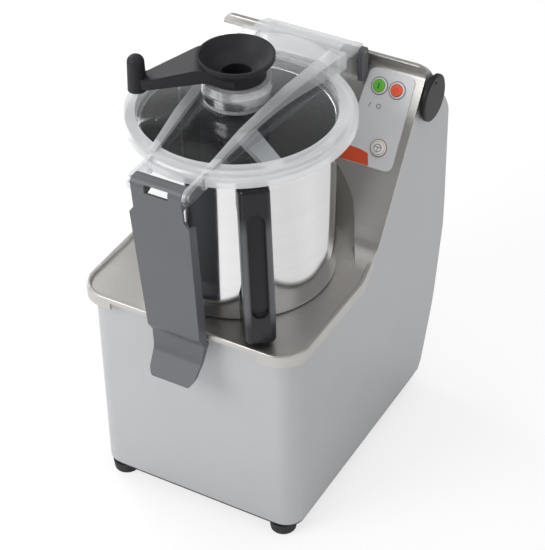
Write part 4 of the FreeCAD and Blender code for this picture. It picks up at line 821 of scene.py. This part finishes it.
class CUTTER_OT_inside(bpy.types.Operator):
    """Materials of the motor, drive and electrics inside the housing"""
    bl_idname = "cutter.inside"
    bl_label = "Inside"

    def execute(self, context):
        finish_inside("motor_stator", "motor_lower_bell", "motor_upper_bell", "motor_posts", "lower_bearing",
                      "upper_bearing", "shaft_seal", "drive_unit", "motor_rotor", "motor_shaft", "cooling_fan",
                      "control_board", "board_posts", "knob_spindle", "speed_dial", "lid_switch")
        return {"FINISHED"}


# Stage

# The camera's side, height and roll in degrees, its distance and target in metres, and its focal length
VIEW_AZIMUTH = 30.142
VIEW_ELEVATION = 38.106
VIEW_ROLL = -1.226
VIEW_DISTANCE = 2.1015
VIEW_TARGET = Vector((-0.012888, 0.036781, 0.173895))
FOCAL_PIXELS = 1918.36
FRAME_HEIGHT = 550.0
SENSOR_MM = 36.0

# The lamps, all turned to one point: name, place and size in metres, power in watts
LAMPS_AIM = Vector((0.0, 0.0, 0.25))
LAMPS = (
    ("key_light", (-1.0, -1.6, 1.5), 1.2, 30.0),
    ("fill_light", (2.2, -0.6, 1.2), 1.6, 8.0),
    ("top_light", (0.2, 0.4, 2.4), 1.8, 15.0),
    ("left_light", (-1.76, 0.77, 1.33), 1.0, 20.0),
)

# How bright the world is as soft light, in reflections and to the camera, and how much the floor glows there
WHITE = (1.0, 1.0, 1.0, 1.0)
SOFT_WORLD = 0.55
MIRRORED_WORLD = 0.30
SEEN_WORLD = 1.0
FLOOR_GLOW = 0.72
FLOOR_SIZE = 12.0


def area_light(name, spot, size, power):
    """Large white square lamp at spot, turned towards the machine."""
    data = bpy.data.lights.new(name, "AREA")
    data.shape = "SQUARE"
    data.size = size
    data.energy = power
    lamp = bpy.data.objects.new(name, data)
    lamp.location = spot
    lamp.rotation_euler = (LAMPS_AIM - Vector(spot)).to_track_quat("-Z", "Y").to_euler()
    bpy.context.scene.collection.objects.link(lamp)


class CUTTER_OT_stage(bpy.types.Operator):
    """Pale floor, soft studio light and the camera"""
    bl_idname = "cutter.stage"
    bl_label = "Stage"

    def execute(self, context):
        scene = context.scene
        scene.view_settings.view_transform = "Standard"
        self.floor()
        self.world(scene)
        for lamp in LAMPS:
            area_light(*lamp)
        self.camera(scene)
        return {"FINISHED"}

    def floor(self):
        """Pale floor that glows for the camera, so that it joins the white behind it."""
        bpy.ops.object.select_all(action="DESELECT")
        bpy.ops.mesh.primitive_plane_add(size=FLOOR_SIZE, location=(0.0, 0.0, 0.0))
        floor = bpy.context.object
        floor.name = "floor"
        material, tree = blank_material("pale_floor")
        mottle = grain(tree, 300.0)
        matt = add(tree, "ShaderNodeBsdfPrincipled", Roughness=0.8,
                   Base_Color=tinted(tree, mottle.outputs[0], colours().floor, 0.01))
        glow = add(tree, "ShaderNodeEmission", Color=WHITE, Strength=1.0)
        seen = add(tree, "ShaderNodeLightPath").outputs["Is Camera Ray"]
        close_material(tree, layered(tree, product(tree, seen, FLOOR_GLOW), matt.outputs[0], glow.outputs[0]))
        floor.data.materials.append(material)

    def world(self, scene):
        """White to the camera, soft light on the pieces, and a dim room in their reflections."""
        world = bpy.data.worlds.new("studio")
        scene.world = world
        world.use_nodes = True
        tree = world.node_tree
        tree.nodes.clear()
        path = add(tree, "ShaderNodeLightPath")
        soft, mirrored, seen = (add(tree, "ShaderNodeBackground", Color=WHITE, Strength=strength).outputs[0]
                                for strength in (SOFT_WORLD, MIRRORED_WORLD, SEEN_WORLD))
        lit = layered(tree, path.outputs["Is Glossy Ray"], soft, mirrored)
        add(tree, "ShaderNodeOutputWorld", Surface=layered(tree, path.outputs["Is Camera Ray"], lit, seen))

    def camera(self, scene):
        """Camera that sees the machine as the first picture does."""
        azimuth = math.radians(VIEW_AZIMUTH)
        elevation = math.radians(VIEW_ELEVATION)
        roll = math.radians(VIEW_ROLL)
        back = Vector((math.sin(azimuth) * math.cos(elevation), -math.cos(azimuth) * math.cos(elevation),
                       math.sin(elevation)))
        level = Vector((math.cos(azimuth), math.sin(azimuth), 0.0))
        above = back.cross(level)
        right = level * math.cos(roll) + above * math.sin(roll)
        upward = above * math.cos(roll) - level * math.sin(roll)
        data = bpy.data.cameras.new("camera")
        data.sensor_width = SENSOR_MM
        data.lens = FOCAL_PIXELS / FRAME_HEIGHT * SENSOR_MM
        data.clip_start = 0.05
        camera = bpy.data.objects.new("camera", data)
        turned = Matrix((right, upward, back)).transposed().to_4x4()
        camera.matrix_world = Matrix.Translation(VIEW_TARGET + back * VIEW_DISTANCE) @ turned
        scene.collection.objects.link(camera)
        scene.camera = camera


OPERATORS = (CUTTER_OT_stage, CUTTER_OT_body, CUTTER_OT_bowl, CUTTER_OT_lid, CUTTER_OT_latch, CUTTER_OT_crank,
             CUTTER_OT_scraper, CUTTER_OT_blades, CUTTER_OT_controls, CUTTER_OT_knob, CUTTER_OT_inside)


class CUTTER_PT_panel(bpy.types.Panel):
    """Buttons for every group of pieces"""
    bl_label = "Vegetable cutter"
    bl_idname = "CUTTER_PT_panel"
    bl_space_type = "VIEW_3D"
    bl_region_type = "UI"
    bl_category = "Cutter"

    def draw(self, context):
        for operator in OPERATORS:
            self.layout.operator(operator.bl_idname)
        for name in CutterColours.__annotations__:
            self.layout.prop(context.scene.cutter_colours, name)
        for name in CutterSizes.__annotations__:
            self.layout.prop(context.scene.cutter_sizes, name)


CLASSES = (CutterColours, CutterSizes) + OPERATORS + (CUTTER_PT_panel,)


def register():
    for cls in CLASSES:
        bpy.utils.register_class(cls)
    bpy.types.Scene.cutter_colours = bpy.props.PointerProperty(type=CutterColours)
    bpy.types.Scene.cutter_sizes = bpy.props.PointerProperty(type=CutterSizes)


def unregister():
    del bpy.types.Scene.cutter_sizes
    del bpy.types.Scene.cutter_colours
    for cls in reversed(CLASSES):
        bpy.utils.unregister_class(cls)


def main():
    register()
    bpy.ops.cutter.stage()
    bpy.ops.cutter.body()
    bpy.ops.cutter.bowl()
    bpy.ops.cutter.lid()
    bpy.ops.cutter.latch()
    bpy.ops.cutter.crank()
    bpy.ops.cutter.scraper()
    bpy.ops.cutter.blades()
    bpy.ops.cutter.controls()
    bpy.ops.cutter.knob()
    bpy.ops.cutter.inside()


if __name__ == "__main__":
    main()
